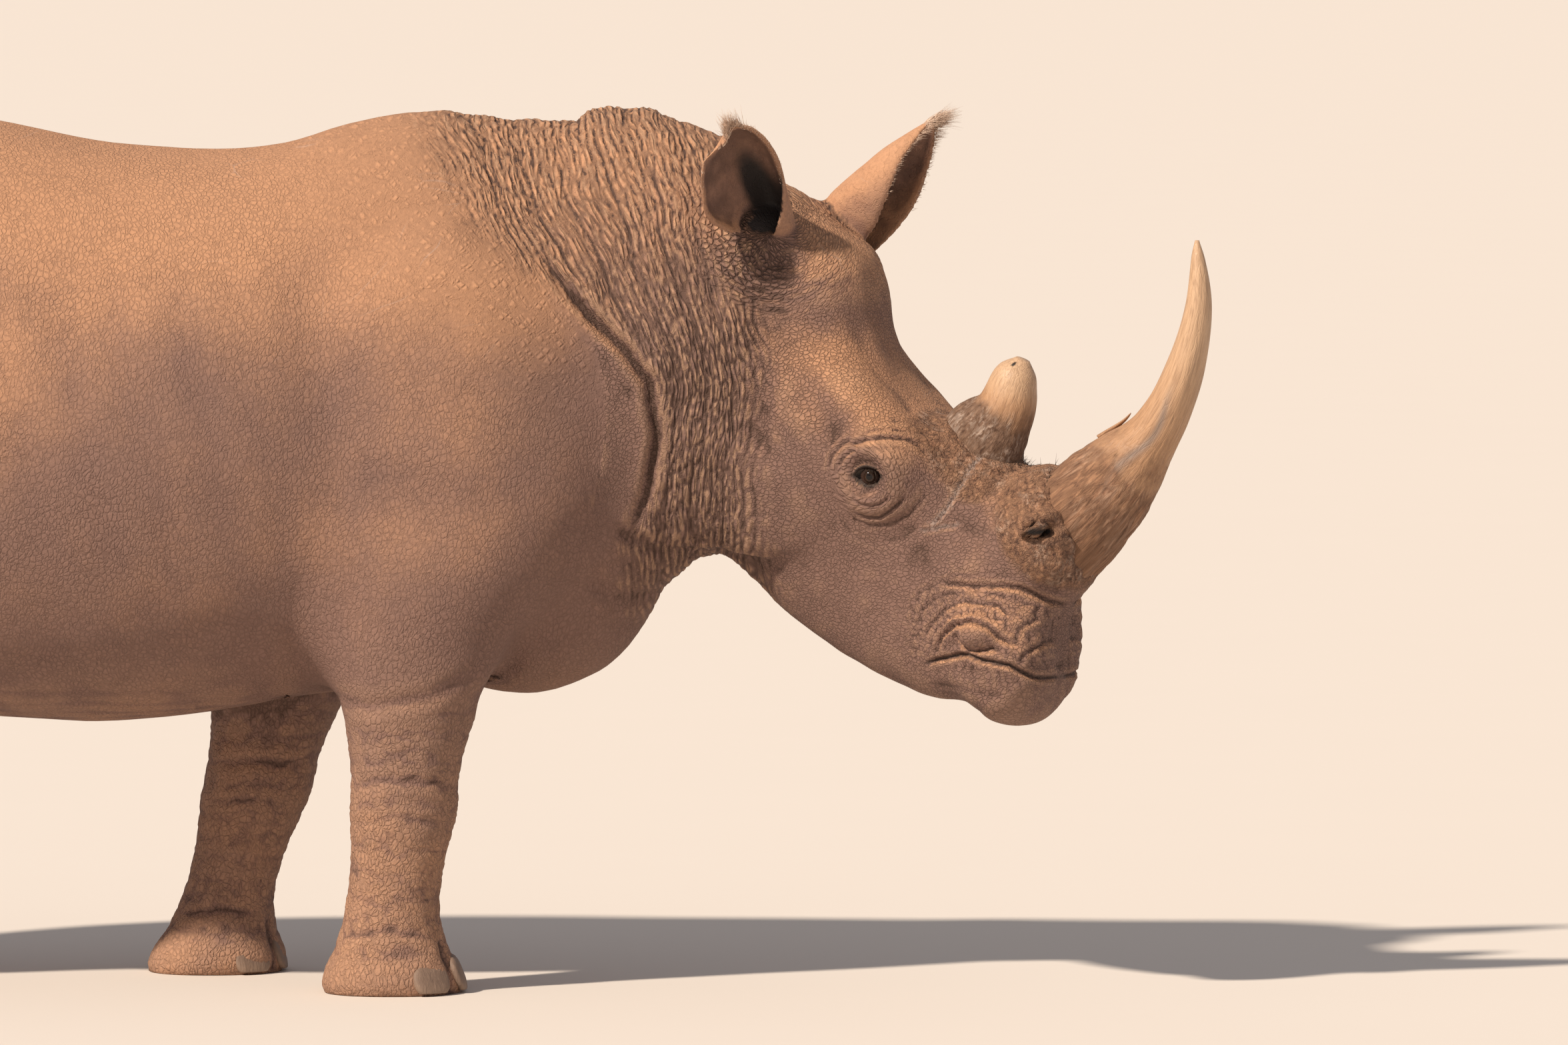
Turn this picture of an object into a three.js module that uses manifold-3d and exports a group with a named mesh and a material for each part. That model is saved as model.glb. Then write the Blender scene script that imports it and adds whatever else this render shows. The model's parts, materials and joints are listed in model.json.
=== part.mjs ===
// A white rhinoceros cow, life size, standing, with the head lowered and turned to its right.
// Millimetres, +X towards the head, +Y to the animal's left, +Z up. The origin is on the floor,
// under the middle of the whole animal's box.
//
// The flesh is one implicit body: a field that is negative inside and positive outside. Lofts give
// the trunk, head and legs, ellipsoids give the muscle masses, and smooth unions join them. Each
// named node is that body meshed at a size of its own and parted from its neighbours by thin cuts:
// the trunk, neck and head on a grid of cells, the legs on rings of rays. Horns, ears, eyes, nails
// and the tail are solids of their own, seated in the flesh.

import * as THREE from "three";
import { mergeVertices } from "three/addons/utils/BufferGeometryUtils.js";
import Module from "manifold-3d";

const wasm = await Module();
wasm.setup();

// ---------------------------------------------------------------- driving dimensions

const HEAD_PITCH = 56; // degrees that the head hangs below level
const HEAD_TURN = 24; // degrees that the head is turned to the animal's right
const HEAD_JOINT = new THREE.Vector3(600, -70, 1400); // the skull's joint with the neck

const HOOF_HALF_TRACK = 235; // from the middle plane to a foot's centre
const TAIL_ROOT = new THREE.Vector3(-1800, 0, 1420);
const TAIL_LENGTH = 620;
const TAIL_RADIUS = 42;

const EYE = { along: 524, side: 174, height: 72, radius: 21 };
const EAR_THICKNESS = 8;
const EAR_TIP_SHARE = 0.45; // of the half width, the most that the leaf may take near the tip
// Each horn's middle line: how far along the head, and how high above its axis.
const FRONT_HORN = [[800, 250], [790, 322], [770, 436], [738, 555], [682, 656], [592, 756], [484, 825]];
const REAR_HORN = [[588, 175], [560, 245], [536, 312], [500, 358], [476, 396]];
const MOUTH = { corner: [870, 18], front: [1060, 146] };

const BLEND = { limb: 95, muscle: 110, face: 45 }; // radii of the smooth unions
const CUT_GAP = 0.4; // between neighbouring nodes
const EAR_GAP = 1; // round an ear's root, whose faces are twisted

// ---------------------------------------------------------------- fields

const smoothMin = (a, b, k) => {
  const overlap = Math.max(k - Math.abs(a - b), 0) / k;
  return Math.min(a, b) - (overlap * overlap * k) / 4;
};

// A cubic through the rows of a table whose first column is the station.
function throughRows(rows) {
  const slope = rows.map((_, i) => {
    const a = rows[Math.max(i - 1, 0)];
    const b = rows[Math.min(i + 1, rows.length - 1)];
    return a.map((v, c) => (b[c] - v) / (b[0] - a[0]));
  });
  return (t) => {
    const at = Math.min(Math.max(t, rows[0][0]), rows[rows.length - 1][0]);
    let i = 0;
    while (i < rows.length - 2 && at > rows[i + 1][0]) i++;
    const [a, b] = [rows[i], rows[i + 1]];
    const step = b[0] - a[0];
    const s = (at - a[0]) / step;
    return a.map((v, c) => {
      const rise = v * (1 + 2 * s) * (1 - s) ** 2 + b[c] * s * s * (3 - 2 * s);
      return rise + step * s * (1 - s) * (slope[i][c] * (1 - s) - slope[i + 1][c] * s);
    });
  };
}

// A body whose cross-section changes along its length. A row is: station, upper edge, lower edge,
// level of the greatest width, half width, sideways centre, roundness above and roundness below.
// The ends are rounded off over the two cap lengths.
function loft(rows, startCap, endCap) {
  const section = throughRows(rows);
  const first = rows[0][0];
  const last = rows[rows.length - 1][0];
  return (along, side, height) => {
    const [, high, low, middle, half, centre, roundHigh, roundLow] = section(along);
    const h = height - middle;
    const s = side - centre;
    const reach = h > 0 ? high - middle : middle - low;
    const n = h > 0 ? roundHigh : roundLow;
    let r = Math.pow(Math.pow(Math.abs(s) / half, n) + Math.pow(Math.abs(h) / reach, n), 1 / n);
    const past = along < first ? (first - along) / startCap : (along - last) / endCap;
    if (past > 0) r = Math.hypot(r, past);
    const pastLength = along < first ? first - along : Math.max(along - last, 0);
    const away = Math.hypot(h, s, pastLength);
    return r < 1e-6 ? -Math.min(half, reach) : away * (1 - 1 / r);
  };
}

// An ellipsoid tilted by some degrees in the plane of its first and last axes.
function ellipsoid([cx, cy, cz], [rx, ry, rz], tilt = 0) {
  const c = Math.cos(THREE.MathUtils.degToRad(tilt));
  const s = Math.sin(THREE.MathUtils.degToRad(tilt));
  return (x, y, z) => {
    const [dx, dy, dz] = [x - cx, y - cy, z - cz];
    const [u, v, w] = [c * dx + s * dz, dy, c * dz - s * dx];
    const near = Math.hypot(u / rx, v / ry, w / rz);
    const slope = Math.hypot(u / (rx * rx), v / (ry * ry), w / (rz * rz));
    return slope < 1e-9 ? -Math.min(rx, ry, rz) : (near * (near - 1)) / slope;
  };
}

// The same shape on both sides of the middle plane.
const bothSides = (field) => (x, y, z) => field(x, Math.abs(y), z);

// ---------------------------------------------------------------- trunk and neck

const trunkLoft = loft(
  [
    [-1680, 1500, 950, 1270, 290, 0, 2.2, 2.1],
    [-1520, 1630, 760, 1180, 366, 0, 2.2, 2.1],
    [-1300, 1706, 630, 1120, 408, 0, 2.2, 2.1],
    [-1090, 1708, 560, 1080, 434, 0, 2.1, 2.1],
    [-870, 1676, 525, 1050, 455, 0, 2.0, 2.1],
    [-650, 1634, 512, 1040, 460, 0, 2.0, 2.1],
    [-450, 1620, 525, 1040, 450, 0, 2.0, 2.1],
    [-290, 1632, 550, 1050, 426, 0, 1.9, 2.1],
    [-150, 1674, 572, 1060, 396, 0, 1.8, 2.1],
    [0, 1701, 590, 1080, 366, 0, 1.75, 2.1],
    [150, 1687, 612, 1100, 342, 0, 1.75, 2.1],
    [280, 1690, 660, 1130, 312, -12, 1.9, 2.1],
    [383, 1718, 725, 1180, 290, -30, 1.9, 2.1],
    [480, 1700, 800, 1230, 268, -55, 2.0, 2.1],
    [560, 1652, 870, 1270, 240, -75, 2.0, 2.1],
  ],
  165,
  110,
);

const shoulder = bothSides(ellipsoid([70, 268, 1090], [215, 128, 360], 14));
const haunch = bothSides(ellipsoid([-1440, 240, 1060], [300, 180, 400], 8));
const brisket = ellipsoid([235, 0, 700], [170, 150, 120], 20);

// ---------------------------------------------------------------- legs

// Rows: height, front edge, back edge, middle, half width, sideways centre, roundnesses.
const foreleg = (shift, lean, side) => {
  const x = (height, offset) => offset + shift + (lean * height) / 400;
  const row = (height, front, back, half, out) => {
    const [f, b] = [x(height, front), x(height, back)];
    return [height, f, b, (f + b) / 2, half, side * (HOOF_HALF_TRACK + out), 2.2, 2.2];
  };
  return [
    row(-60, 134, -132, 124, 0),
    row(30, 134, -132, 126, 0),
    row(85, 104, -112, 108, 2),
    row(150, 84, -98, 92, 5),
    row(250, 88, -96, 94, 8),
    row(350, 108, -108, 104, 12),
    row(430, 110, -112, 108, 16),
    row(540, 136, -132, 120, 24),
    row(680, 180, -168, 134, 34),
    row(850, 225, -190, 140, 36),
    row(1000, 235, -190, 120, 20),
  ];
};

const hindleg = (shift, side) => {
  const row = (height, front, back, half, out) => {
    const [f, b] = [front + shift, back + shift];
    return [height, f, b, (f + b) / 2, half, side * (HOOF_HALF_TRACK + out), 2.2, 2.2];
  };
  return [
    row(-60, 128, -124, 118, 0),
    row(30, 128, -124, 120, 0),
    row(85, 92, -110, 100, 0),
    row(150, 60, -104, 82, 2),
    row(270, 42, -112, 78, 4),
    row(380, 44, -134, 84, 6),
    row(470, 72, -156, 94, 8),
    row(560, 140, -140, 110, 10),
    row(680, 250, -130, 130, 14),
    row(850, 330, -130, 150, 10),
    row(1050, 340, -130, 150, 0),
  ];
};

const LEG_ROWS = {
  fore_right: foreleg(-72, 24, -1),
  fore_left: foreleg(-438, 92, 1),
  hind_right: hindleg(-1600, -1),
  hind_left: hindleg(-1405, 1),
};
const LEG_CAPS = { fore: [60, 150], hind: [60, 160] };
const capsOf = (leg) => LEG_CAPS[leg.split("_")[0]];
const LEGS = Object.fromEntries(
  Object.entries(LEG_ROWS).map(([leg, rows]) => [leg, loft(rows, ...capsOf(leg))]),
);
const legSection = (leg, height) => throughRows(LEG_ROWS[leg])(height);

// ---------------------------------------------------------------- head, in its own frame

// Along the head from the neck joint to the lips, to its left, and up from its brow.
const headAxes = (() => {
  const [pitch, turn] = [HEAD_PITCH, HEAD_TURN].map(THREE.MathUtils.degToRad);
  const along = new THREE.Vector3(
    Math.cos(pitch) * Math.cos(turn),
    -Math.cos(pitch) * Math.sin(turn),
    -Math.sin(pitch),
  );
  const left = new THREE.Vector3(Math.sin(turn), Math.cos(turn), 0);
  return { along, left, up: along.clone().cross(left) };
})();

const headToBody = new THREE.Matrix4()
  .makeBasis(headAxes.along, headAxes.left, headAxes.up)
  .setPosition(HEAD_JOINT);

const skullLoft = loft(
  [
    [-90, 120, -230, -20, 160, 0, 2.2, 2.0],
    [0, 178, -290, 10, 168, 0, 2.3, 2.0],
    [110, 234, -325, 30, 176, 0, 2.4, 2.0],
    [200, 214, -340, 40, 182, 0, 2.4, 2.0],
    [320, 162, -338, 48, 184, 0, 2.5, 2.0],
    [420, 158, -330, 55, 182, 0, 2.5, 2.0],
    [540, 212, -312, 62, 172, 0, 2.3, 2.0],
    [660, 268, -276, 72, 150, 0, 2.2, 2.0],
    [780, 296, -216, 88, 136, 0, 2.2, 2.1],
    [880, 246, -150, 92, 134, 0, 2.3, 2.3],
    [960, 167, -80, 76, 138, 0, 2.6, 2.6],
    [1005, 124, -34, 60, 128, 0, 2.7, 2.7],
  ],
  110,
  48,
);

const faceMasses = [
  ellipsoid([10, 0, 130], [110, 118, 56], 0), // poll
  bothSides(ellipsoid([14, 116, 120], [64, 52, 66], 0)), // ear roots
  bothSides(ellipsoid([420, 138, 112], [150, 46, 52], 4)), // brow ridge
  bothSides(ellipsoid([522, 152, 72], [86, 44, 66], 0)), // eyelids
  bothSides(ellipsoid([330, 132, -120], [220, 74, 200], -8)), // cheek
  ellipsoid([782, 0, 256], [124, 112, 88], -20), // horn boss
  bothSides(ellipsoid([805, 102, 258], [74, 40, 56], 0)), // nostril wing
  bothSides(ellipsoid([945, 70, 76], [76, 72, 72], 0)), // upper lip
  bothSides(ellipsoid([880, 116, 66], [46, 36, 42], 0)), // lip corner
  ellipsoid([960, 0, 4], [80, 104, 54], 28), // chin
];

const headField = (along, side, height) =>
  faceMasses.reduce(
    (whole, mass) => smoothMin(whole, mass(along, side, height), BLEND.face),
    skullLoft(along, side, height),
  );

// ---------------------------------------------------------------- the whole flesh

const headJointInverse = headToBody.clone().invert();

function fleshField(x, y, z) {
  let whole = trunkLoft(x, y, z);
  if (x > -700) whole = smoothMin(whole, shoulder(x, y, z), BLEND.muscle);
  if (x < -700) whole = smoothMin(whole, haunch(x, y, z), BLEND.muscle);
  if (x > -300) whole = smoothMin(whole, brisket(x, y, z), BLEND.muscle);
  for (const leg of Object.values(LEGS)) whole = smoothMin(whole, leg(z, y, x), BLEND.limb);
  if (x > 0) {
    const p = new THREE.Vector3(x, y, z).applyMatrix4(headJointInverse);
    whole = smoothMin(whole, headField(p.x, p.y, p.z), BLEND.limb);
  }
  return Math.max(whole, -z);
}

const fleshInHead = (along, side, height) => {
  const p = new THREE.Vector3(along, side, height).applyMatrix4(headToBody);
  return fleshField(p.x, p.y, p.z);
};

// ---------------------------------------------------------------- meshing a field

// Surface nets: one vertex in each cell that the surface crosses, moved onto the surface, and one
// quad round each grid edge that it crosses. The box closes the body where it leaves it.
function meshField(field, low, high, cell) {
  const count = low.map((v, a) => Math.ceil((high[a] - v) / cell[a]) + 1);
  const stride = [1, count[0], count[0] * count[1]];
  const values = new Float64Array(count[0] * count[1] * count[2]);
  const place = (i, j, k) => [low[0] + i * cell[0], low[1] + j * cell[1], low[2] + k * cell[2]];
  const rim = (n, a) => n === 0 || n === count[a] - 1;
  for (let k = 0; k < count[2]; k++)
    for (let j = 0; j < count[1]; j++)
      for (let i = 0; i < count[0]; i++) {
        const value = field(...place(i, j, k));
        const onRim = rim(i, 0) || rim(j, 1) || rim(k, 2);
        values[i + j * stride[1] + k * stride[2]] = onRim ? Math.max(value, 1) : value;
      }

  const points = [];
  const vertexOf = new Map();
  const inner = (n, a) => n > 0 && n < count[a] - 2;
  for (let k = 0; k < count[2] - 1; k++)
    for (let j = 0; j < count[1] - 1; j++)
      for (let i = 0; i < count[0] - 1; i++) {
        const crossing = crossings(values, i + j * stride[1] + k * stride[2], stride);
        if (!crossing) continue;
        const start = place(i + crossing[0], j + crossing[1], k + crossing[2]);
        const free = inner(i, 0) && inner(j, 1) && inner(k, 2);
        vertexOf.set(i + j * stride[1] + k * stride[2], points.length / 3);
        points.push(...(free ? ontoSurface(field, start, Math.min(...cell) / 2) : start));
      }

  const faces = [];
  for (let k = 0; k < count[2] - 1; k++)
    for (let j = 0; j < count[1] - 1; j++)
      for (let i = 0; i < count[0] - 1; i++)
        for (let a = 0; a < 3; a++) {
          const here = i + j * stride[1] + k * stride[2];
          const [inside, outside] = [values[here] < 0, values[here + stride[a]] >= 0];
          if (inside !== outside) continue;
          const [b, c] = [stride[(a + 1) % 3], stride[(a + 2) % 3]];
          const ring = [here - b - c, here - c, here, here - b].map((n) => vertexOf.get(n));
          const quad = inside ? ring : ring.reverse();
          faces.push(...splitQuad(points, quad));
        }

  return new THREE.BufferGeometry()
    .setAttribute("position", new THREE.Float32BufferAttribute(points, 3))
    .setIndex(faces);
}

// The mean of the places where the surface crosses a cell's edges, in cells, or null.
function crossings(values, base, stride) {
  const sum = [0, 0, 0];
  let found = 0;
  for (let a = 0; a < 3; a++) {
    const [b, c] = [(a + 1) % 3, (a + 2) % 3];
    for (let corner = 0; corner < 4; corner++) {
      const [nb, nc] = [corner & 1, corner >> 1];
      const from = base + nb * stride[b] + nc * stride[c];
      const [v0, v1] = [values[from], values[from + stride[a]]];
      if (v0 < 0 === v1 < 0) continue;
      sum[a] += v0 / (v0 - v1);
      sum[b] += nb;
      sum[c] += nc;
      found++;
    }
  }
  return found ? sum.map((v) => v / found) : null;
}

// Newton steps along the field's slope, kept within reach of the start.
function ontoSurface(field, start, reach) {
  const p = [...start];
  const probe = 0.5;
  for (let step = 0; step < 4; step++) {
    const value = field(...p);
    const slope = p.map((_, a) => {
      const [up, down] = [[...p], [...p]];
      up[a] += probe;
      down[a] -= probe;
      return (field(...up) - field(...down)) / (2 * probe);
    });
    const size = Math.max(Math.hypot(...slope), 0.3);
    slope.forEach((g, a) => (p[a] -= (value * g) / (size * size)));
  }
  return p.map((v, a) => THREE.MathUtils.clamp(v, start[a] - reach, start[a] + reach));
}

function splitQuad(points, [a, b, c, d]) {
  const at = (n) => new THREE.Vector3().fromArray(points, n * 3);
  const short = at(a).distanceToSquared(at(c)) <= at(b).distanceToSquared(at(d));
  return short ? [a, b, c, a, c, d] : [a, b, d, b, c, d];
}

// ---------------------------------------------------------------- solids and cuts

function toSolid(geometry) {
  const bare = geometry.index ? geometry.toNonIndexed() : geometry.clone();
  bare.deleteAttribute("normal");
  bare.deleteAttribute("uv");
  const merged = mergeVertices(bare, 1e-3);
  return new wasm.Manifold(
    new wasm.Mesh({
      numProp: 3,
      vertProperties: merged.attributes.position.array,
      triVerts: new Uint32Array(merged.index.array),
    }),
  );
}

function toGeometry(solid) {
  const largest = solid.decompose().sort((a, b) => b.volume() - a.volume())[0];
  const mesh = largest.getMesh();
  const points = new Float32Array(mesh.numVert * 3);
  for (let i = 0; i < mesh.numVert; i++)
    points.set(mesh.vertProperties.subarray(i * mesh.numProp, i * mesh.numProp + 3), i * 3);
  const geometry = new THREE.BufferGeometry()
    .setAttribute("position", new THREE.BufferAttribute(points, 3))
    .setIndex(new THREE.BufferAttribute(mesh.triVerts, 1));
  geometry.computeVertexNormals();
  return geometry;
}

const HALF_SPACE = 8000;

// The solid half of space beyond a plane, held off it by half the cut's gap.
function beyond([point, normal], held = CUT_GAP / 2) {
  const facing = new THREE.Vector3(...normal).normalize();
  const turn = new THREE.Quaternion().setFromUnitVectors(new THREE.Vector3(0, 0, 1), facing);
  const middle = facing.clone().multiplyScalar(HALF_SPACE / 2 + held);
  const place = new THREE.Matrix4().compose(
    middle.add(new THREE.Vector3(...point)),
    turn,
    new THREE.Vector3(1, 1, 1),
  );
  const block = new THREE.BoxGeometry(HALF_SPACE, HALF_SPACE, HALF_SPACE).applyMatrix4(place);
  return toSolid(block);
}

const reversed = ([point, normal]) => [point, normal.map((v) => -v)];

// What a solid keeps of itself on the far sides of some planes.
const keep = (solid, ...planes) =>
  planes.reduce((left, plane) => left.intersect(beyond(plane)), solid);

// A plane given in the head's frame, as the body's frame sees it.
function fromHead([point, normal]) {
  const p = new THREE.Vector3(...point).applyMatrix4(headToBody);
  const n = new THREE.Vector3(...normal).transformDirection(headToBody);
  return [p.toArray(), n.toArray()];
}

// ---------------------------------------------------------------- where the nodes part

const NECK_CUT = [[120, 0, 1750], [1100, 0, 210]];
const HEAD_CUT = [[-95, 0, 220], [560, 0, 440]];
const jawLine = [MOUTH.front[0] - MOUTH.corner[0], MOUTH.front[1] - MOUTH.corner[1]];
const MOUTH_CUT = [[MOUTH.corner[0], 0, MOUTH.corner[1]], [jawLine[1], 0, -jawLine[0]]];
const JAW_CUT = [[MOUTH.corner[0] - 8, 0, MOUTH.corner[1]], [1, 0, 0.35]];
const ANKLE = 122; // height of the cut between a leg and its foot

// The prism that takes a leg off the trunk: its outline from the side about the middle of the leg,
// its inner face, and the plane that slopes down from the outside to that face.
const LEG_OUTLINE = [
  [-250, -70],
  [-250, 540],
  [-190, 700],
  [-80, 820],
  [90, 820],
  [200, 700],
  [260, 540],
  [260, -70],
];
const LEG_INSIDE = 60;
const LEG_OUTSIDE = 620;
const LEG_TOP = { at: 900, rise: 0.95 };
const LEG_MIDDLE = { fore_right: -60, fore_left: -350, hind_right: -1560, hind_left: -1365 };

function legBlock(name, grow) {
  const side = name.endsWith("right") ? -1 : 1;
  const scale = 1 + grow / 200;
  const outline = new THREE.Shape(
    LEG_OUTLINE.map(([x, z]) => new THREE.Vector2(LEG_MIDDLE[name] + x * scale, z + (z > 0 ? grow : 0))),
  );
  const depth = LEG_OUTSIDE - LEG_INSIDE + 2 * grow;
  const prism = new THREE.ExtrudeGeometry(outline, { depth, bevelEnabled: false });
  prism.rotateX(Math.PI / 2);
  prism.translate(0, side > 0 ? LEG_OUTSIDE + grow : -LEG_INSIDE + grow, 0);
  const slope = [0, side * LEG_TOP.rise, -1];
  return toSolid(prism).intersect(beyond([[0, side * 420, LEG_TOP.at + grow], slope], 0));
}

// ---------------------------------------------------------------- solids from rings

const across = new THREE.Vector3(0, 1, 0);

// A solid from rings of points, each ring closed, with a strip across each end ring.
function ringSolid(rings) {
  const n = rings[0].length;
  const half = n / 2;
  const points = rings.flat().flatMap((p) => p.toArray());
  const faces = [];
  for (let r = 0; r < rings.length - 1; r++)
    for (let i = 0; i < n; i++) {
      const [a, b] = [r * n + i, r * n + ((i + 1) % n)];
      faces.push(...splitQuad(points, [a, b, b + n, a + n]));
    }
  const last = (rings.length - 1) * n;
  for (let i = 0; i < half - 1; i++) {
    const [a, b, c, d] = [i, i + 1, n - 2 - i, n - 1 - i];
    faces.push(...splitQuad(points, [d, c, b, a]));
    faces.push(...splitQuad(points, [a + last, b + last, c + last, d + last]));
  }
  const geometry = new THREE.BufferGeometry()
    .setAttribute("position", new THREE.Float32BufferAttribute(points, 3))
    .setIndex(faces);
  const solid = toSolid(geometry);
  return solid.volume() < 0 ? toSolid(flipped(geometry)) : solid;
}

function flipped(geometry) {
  const index = Array.from(geometry.index.array);
  for (let i = 0; i < index.length; i += 3) [index[i], index[i + 1]] = [index[i + 1], index[i]];
  return geometry.clone().setIndex(index);
}

// A round rod along a curve, its two radii at each share of the length given by a function, and
// the whole grown outwards by a little where it is to cut a place for itself.
function rod(curve, radii, steps, sides, across, grow = 0) {
  const rings = [];
  for (let s = 0; s <= steps; s++) {
    const share = s / steps;
    const tangent = curve.getTangent(share);
    const past = s === 0 ? -grow : s === steps ? grow : 0;
    const centre = curve.getPoint(share).addScaledVector(tangent, past);
    const v = across.clone().addScaledVector(tangent, -across.dot(tangent)).normalize();
    const u = v.clone().cross(tangent);
    const [ru, rv] = radii(share).map((r) => r + grow);
    rings.push(
      Array.from({ length: sides }, (_, i) => {
        const angle = (2 * Math.PI * (i + 0.5)) / sides;
        return centre
          .clone()
          .addScaledVector(u, ru * Math.cos(angle))
          .addScaledVector(v, rv * Math.sin(angle));
      }),
    );
  }
  return ringSolid(rings);
}

const ball = (radius, scale, wide = 10, high = 6) =>
  new THREE.SphereGeometry(radius, wide, high).scale(...scale);

// ---------------------------------------------------------------- horns

function horn(stations, radii, steps, sides, grow) {
  const points = stations.map(([along, height]) => new THREE.Vector3(along, 0, height));
  return rod(new THREE.CatmullRomCurve3(points), radii, steps, sides, across, grow);
}

// Each row is a share of the horn's length with its half depth and half width there. The front horn
// flares at the root and tapers to a point; the rear one is a cone with a blunt knob.
const FRONT_HORN_ROWS = throughRows([
  [0, 102, 94],
  [0.1, 103, 98],
  [0.167, 97, 94],
  [0.24, 90, 84],
  [0.333, 74, 70],
  [0.42, 54, 55],
  [0.5, 46, 48],
  [0.667, 35, 38],
  [0.833, 24, 27],
  [0.95, 13, 14],
  [1, 4, 4],
]);
const REAR_HORN_ROWS = throughRows([
  [0, 80, 68],
  [0.3, 87, 72],
  [0.55, 61, 59],
  [0.75, 50, 49],
  [0.9, 38, 38],
  [1, 14, 14],
]);
const halfSizes = (rows) => (share) => rows(share).slice(1);

const frontHorn = (grow) => horn(FRONT_HORN, halfSizes(FRONT_HORN_ROWS), 13, 12, grow);
const rearHorn = (grow) => horn(REAR_HORN, halfSizes(REAR_HORN_ROWS), 7, 12, grow);

// ---------------------------------------------------------------- ears

// An ear is a leaf rolled into a cup: a tube at its root that opens and narrows to a tip. A row is:
// share of the length, half width on the first and the second side, depth, the degrees round the
// leaf's back at which its two rims lie, how far each rim is drawn up, and how far the leaf leans
// over its cup. The right ear turns its cup outwards, with a broad lobe on its first side.
const EAR_PLACES = {
  ear_right: {
    root: [20, -118, 150],
    axis: [-0.56, -0.74, 0.37],
    facing: [0.5, -0.62, 0.6],
    length: 300,
    rows: [
      [0, 44, 38, 42, -80, 258, 0, 0, 0],
      [0.1, 50, 38, 44, -84, 246, 4, 0, 0],
      [0.2, 92, 42, 46, -88, 212, 26, 0, 0],
      [0.35, 124, 48, 48, -93, 168, 64, -5, 0],
      [0.5, 114, 56, 50, -96, 138, 86, -14, 0],
      [0.65, 98, 61, 50, -98, 118, 84, -24, 0],
      [0.8, 75, 58, 44, -98, 104, 62, -20, 0],
      [0.92, 32, 42, 30, -92, 96, 8, -8, 0],
      [1, 8, 16, 10, -86, 90, 0, 0, 0],
    ],
  },
  ear_left: {
    root: [52, 128, 142],
    axis: [-0.32, 0.14, 0.94],
    facing: [0.84, -0.05, 0.55],
    length: 308,
    rows: [
      [0, 54, 54, 72, -160, 160, 0, 0, -6],
      [0.15, 58, 58, 78, -146, 146, 0, 0, 0],
      [0.3, 70, 70, 80, -132, 132, 0, 0, 10],
      [0.5, 80, 82, 72, -118, 118, 0, 0, 18],
      [0.7, 74, 76, 52, -108, 108, 0, 0, 15],
      [0.88, 42, 50, 28, -98, 98, 0, 0, 10],
      [1, 12, 14, 10, -88, 88, 0, 0, 4],
    ],
  },
};
const EAR_STEPS = 9;
const EAR_ARC = 8; // points from one rim round the back to the other

function ear({ root, axis, facing, length, rows }, grow) {
  const section = throughRows(rows);
  const rings = [];
  for (let s = 0; s <= EAR_STEPS; s++) {
    const share = s / EAR_STEPS;
    const [, first, second, depth, from, to, liftFirst, liftSecond, lean] = section(share);
    const wider = grow / Math.min(first, second);
    const [start, end] = [THREE.MathUtils.degToRad(from) - wider, THREE.MathUtils.degToRad(to) + wider];
    const past = s === 0 ? -grow : s === EAR_STEPS ? grow : 0;
    const leaf = (inset) =>
      Array.from({ length: EAR_ARC }, (_, i) => {
        const turn = (2 * i) / (EAR_ARC - 1) - 1;
        const angle = (start + end) / 2 + (turn * (end - start)) / 2;
        const onSecond = 0.5 + 0.5 * Math.sin(THREE.MathUtils.clamp(angle, -Math.PI / 2, Math.PI / 2));
        const half = first + (second - first) * onSecond;
        const lift = (turn < 0 ? liftFirst : liftSecond) * turn * turn;
        return new THREE.Vector3(
          lean - (depth - inset) * Math.cos(angle),
          (half - inset) * Math.sin(angle),
          length * share + lift + past,
        );
      });
    const thick = Math.min(EAR_THICKNESS, EAR_TIP_SHARE * Math.min(first, second));
    rings.push([...leaf(-grow), ...leaf(thick + grow).reverse()]);
  }
  const up = new THREE.Vector3(...axis).normalize();
  const across = up.clone().cross(new THREE.Vector3(...facing)).normalize();
  const place = new THREE.Matrix4()
    .makeBasis(across.clone().cross(up), across, up)
    .setPosition(...root);
  rings.forEach((ring) => ring.forEach((p) => p.applyMatrix4(place)));
  return ringSolid(rings);
}

const EARS = Object.fromEntries(
  Object.entries(EAR_PLACES).map(([name, place]) => [name, (grow) => ear(place, grow)]),
);

// ---------------------------------------------------------------- eyes, nostrils and nails

const eyePlace = (side) => [EYE.along, side * EYE.side, EYE.height];
const eyeball = (side, grow) => toSolid(ball(EYE.radius + grow, [1, 1, 1]).translate(...eyePlace(side)));
const lidOpening = (side) =>
  toSolid(ball(1, [23, 34, 13]).rotateY(0.35).translate(EYE.along, side * (EYE.side + 24), EYE.height));
const nostril = (side) =>
  toSolid(ball(1, [26, 26, 12]).translate(796, side * 136, 284));

// Three nails stand round the front of each foot: degrees of turn, half width and half height.
const NAILS = { middle: [0, 56, 40], outer: [52, 42, 33], inner: [-52, 42, 33] };
const NAIL_DEPTH = 12;
const NAIL_FLOOR = 6;

function nail(leg, [turn, half, high], grow) {
  const fore = leg.startsWith("fore");
  const side = leg.endsWith("right") ? -1 : 1;
  const [x, y] = [FOOT_CENTRE[leg], side * HOOF_HALF_TRACK];
  const reach = fore ? 129 : 122;
  const angle = THREE.MathUtils.degToRad(turn) * side;
  const shape = ball(1, [NAIL_DEPTH + grow, half + grow, high + grow], 8, 4)
    .rotateY(-0.16)
    .translate(reach, 0, high - 4)
    .rotateZ(angle)
    .translate(x, y, 0);
  return keep(toSolid(shape), [[0, 0, NAIL_FLOOR - grow - CUT_GAP / 2], [0, 0, 1]]);
}

const FOOT_CENTRE = { fore_right: -71, fore_left: -437, hind_right: -1598, hind_left: -1403 };

// ---------------------------------------------------------------- tail

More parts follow.
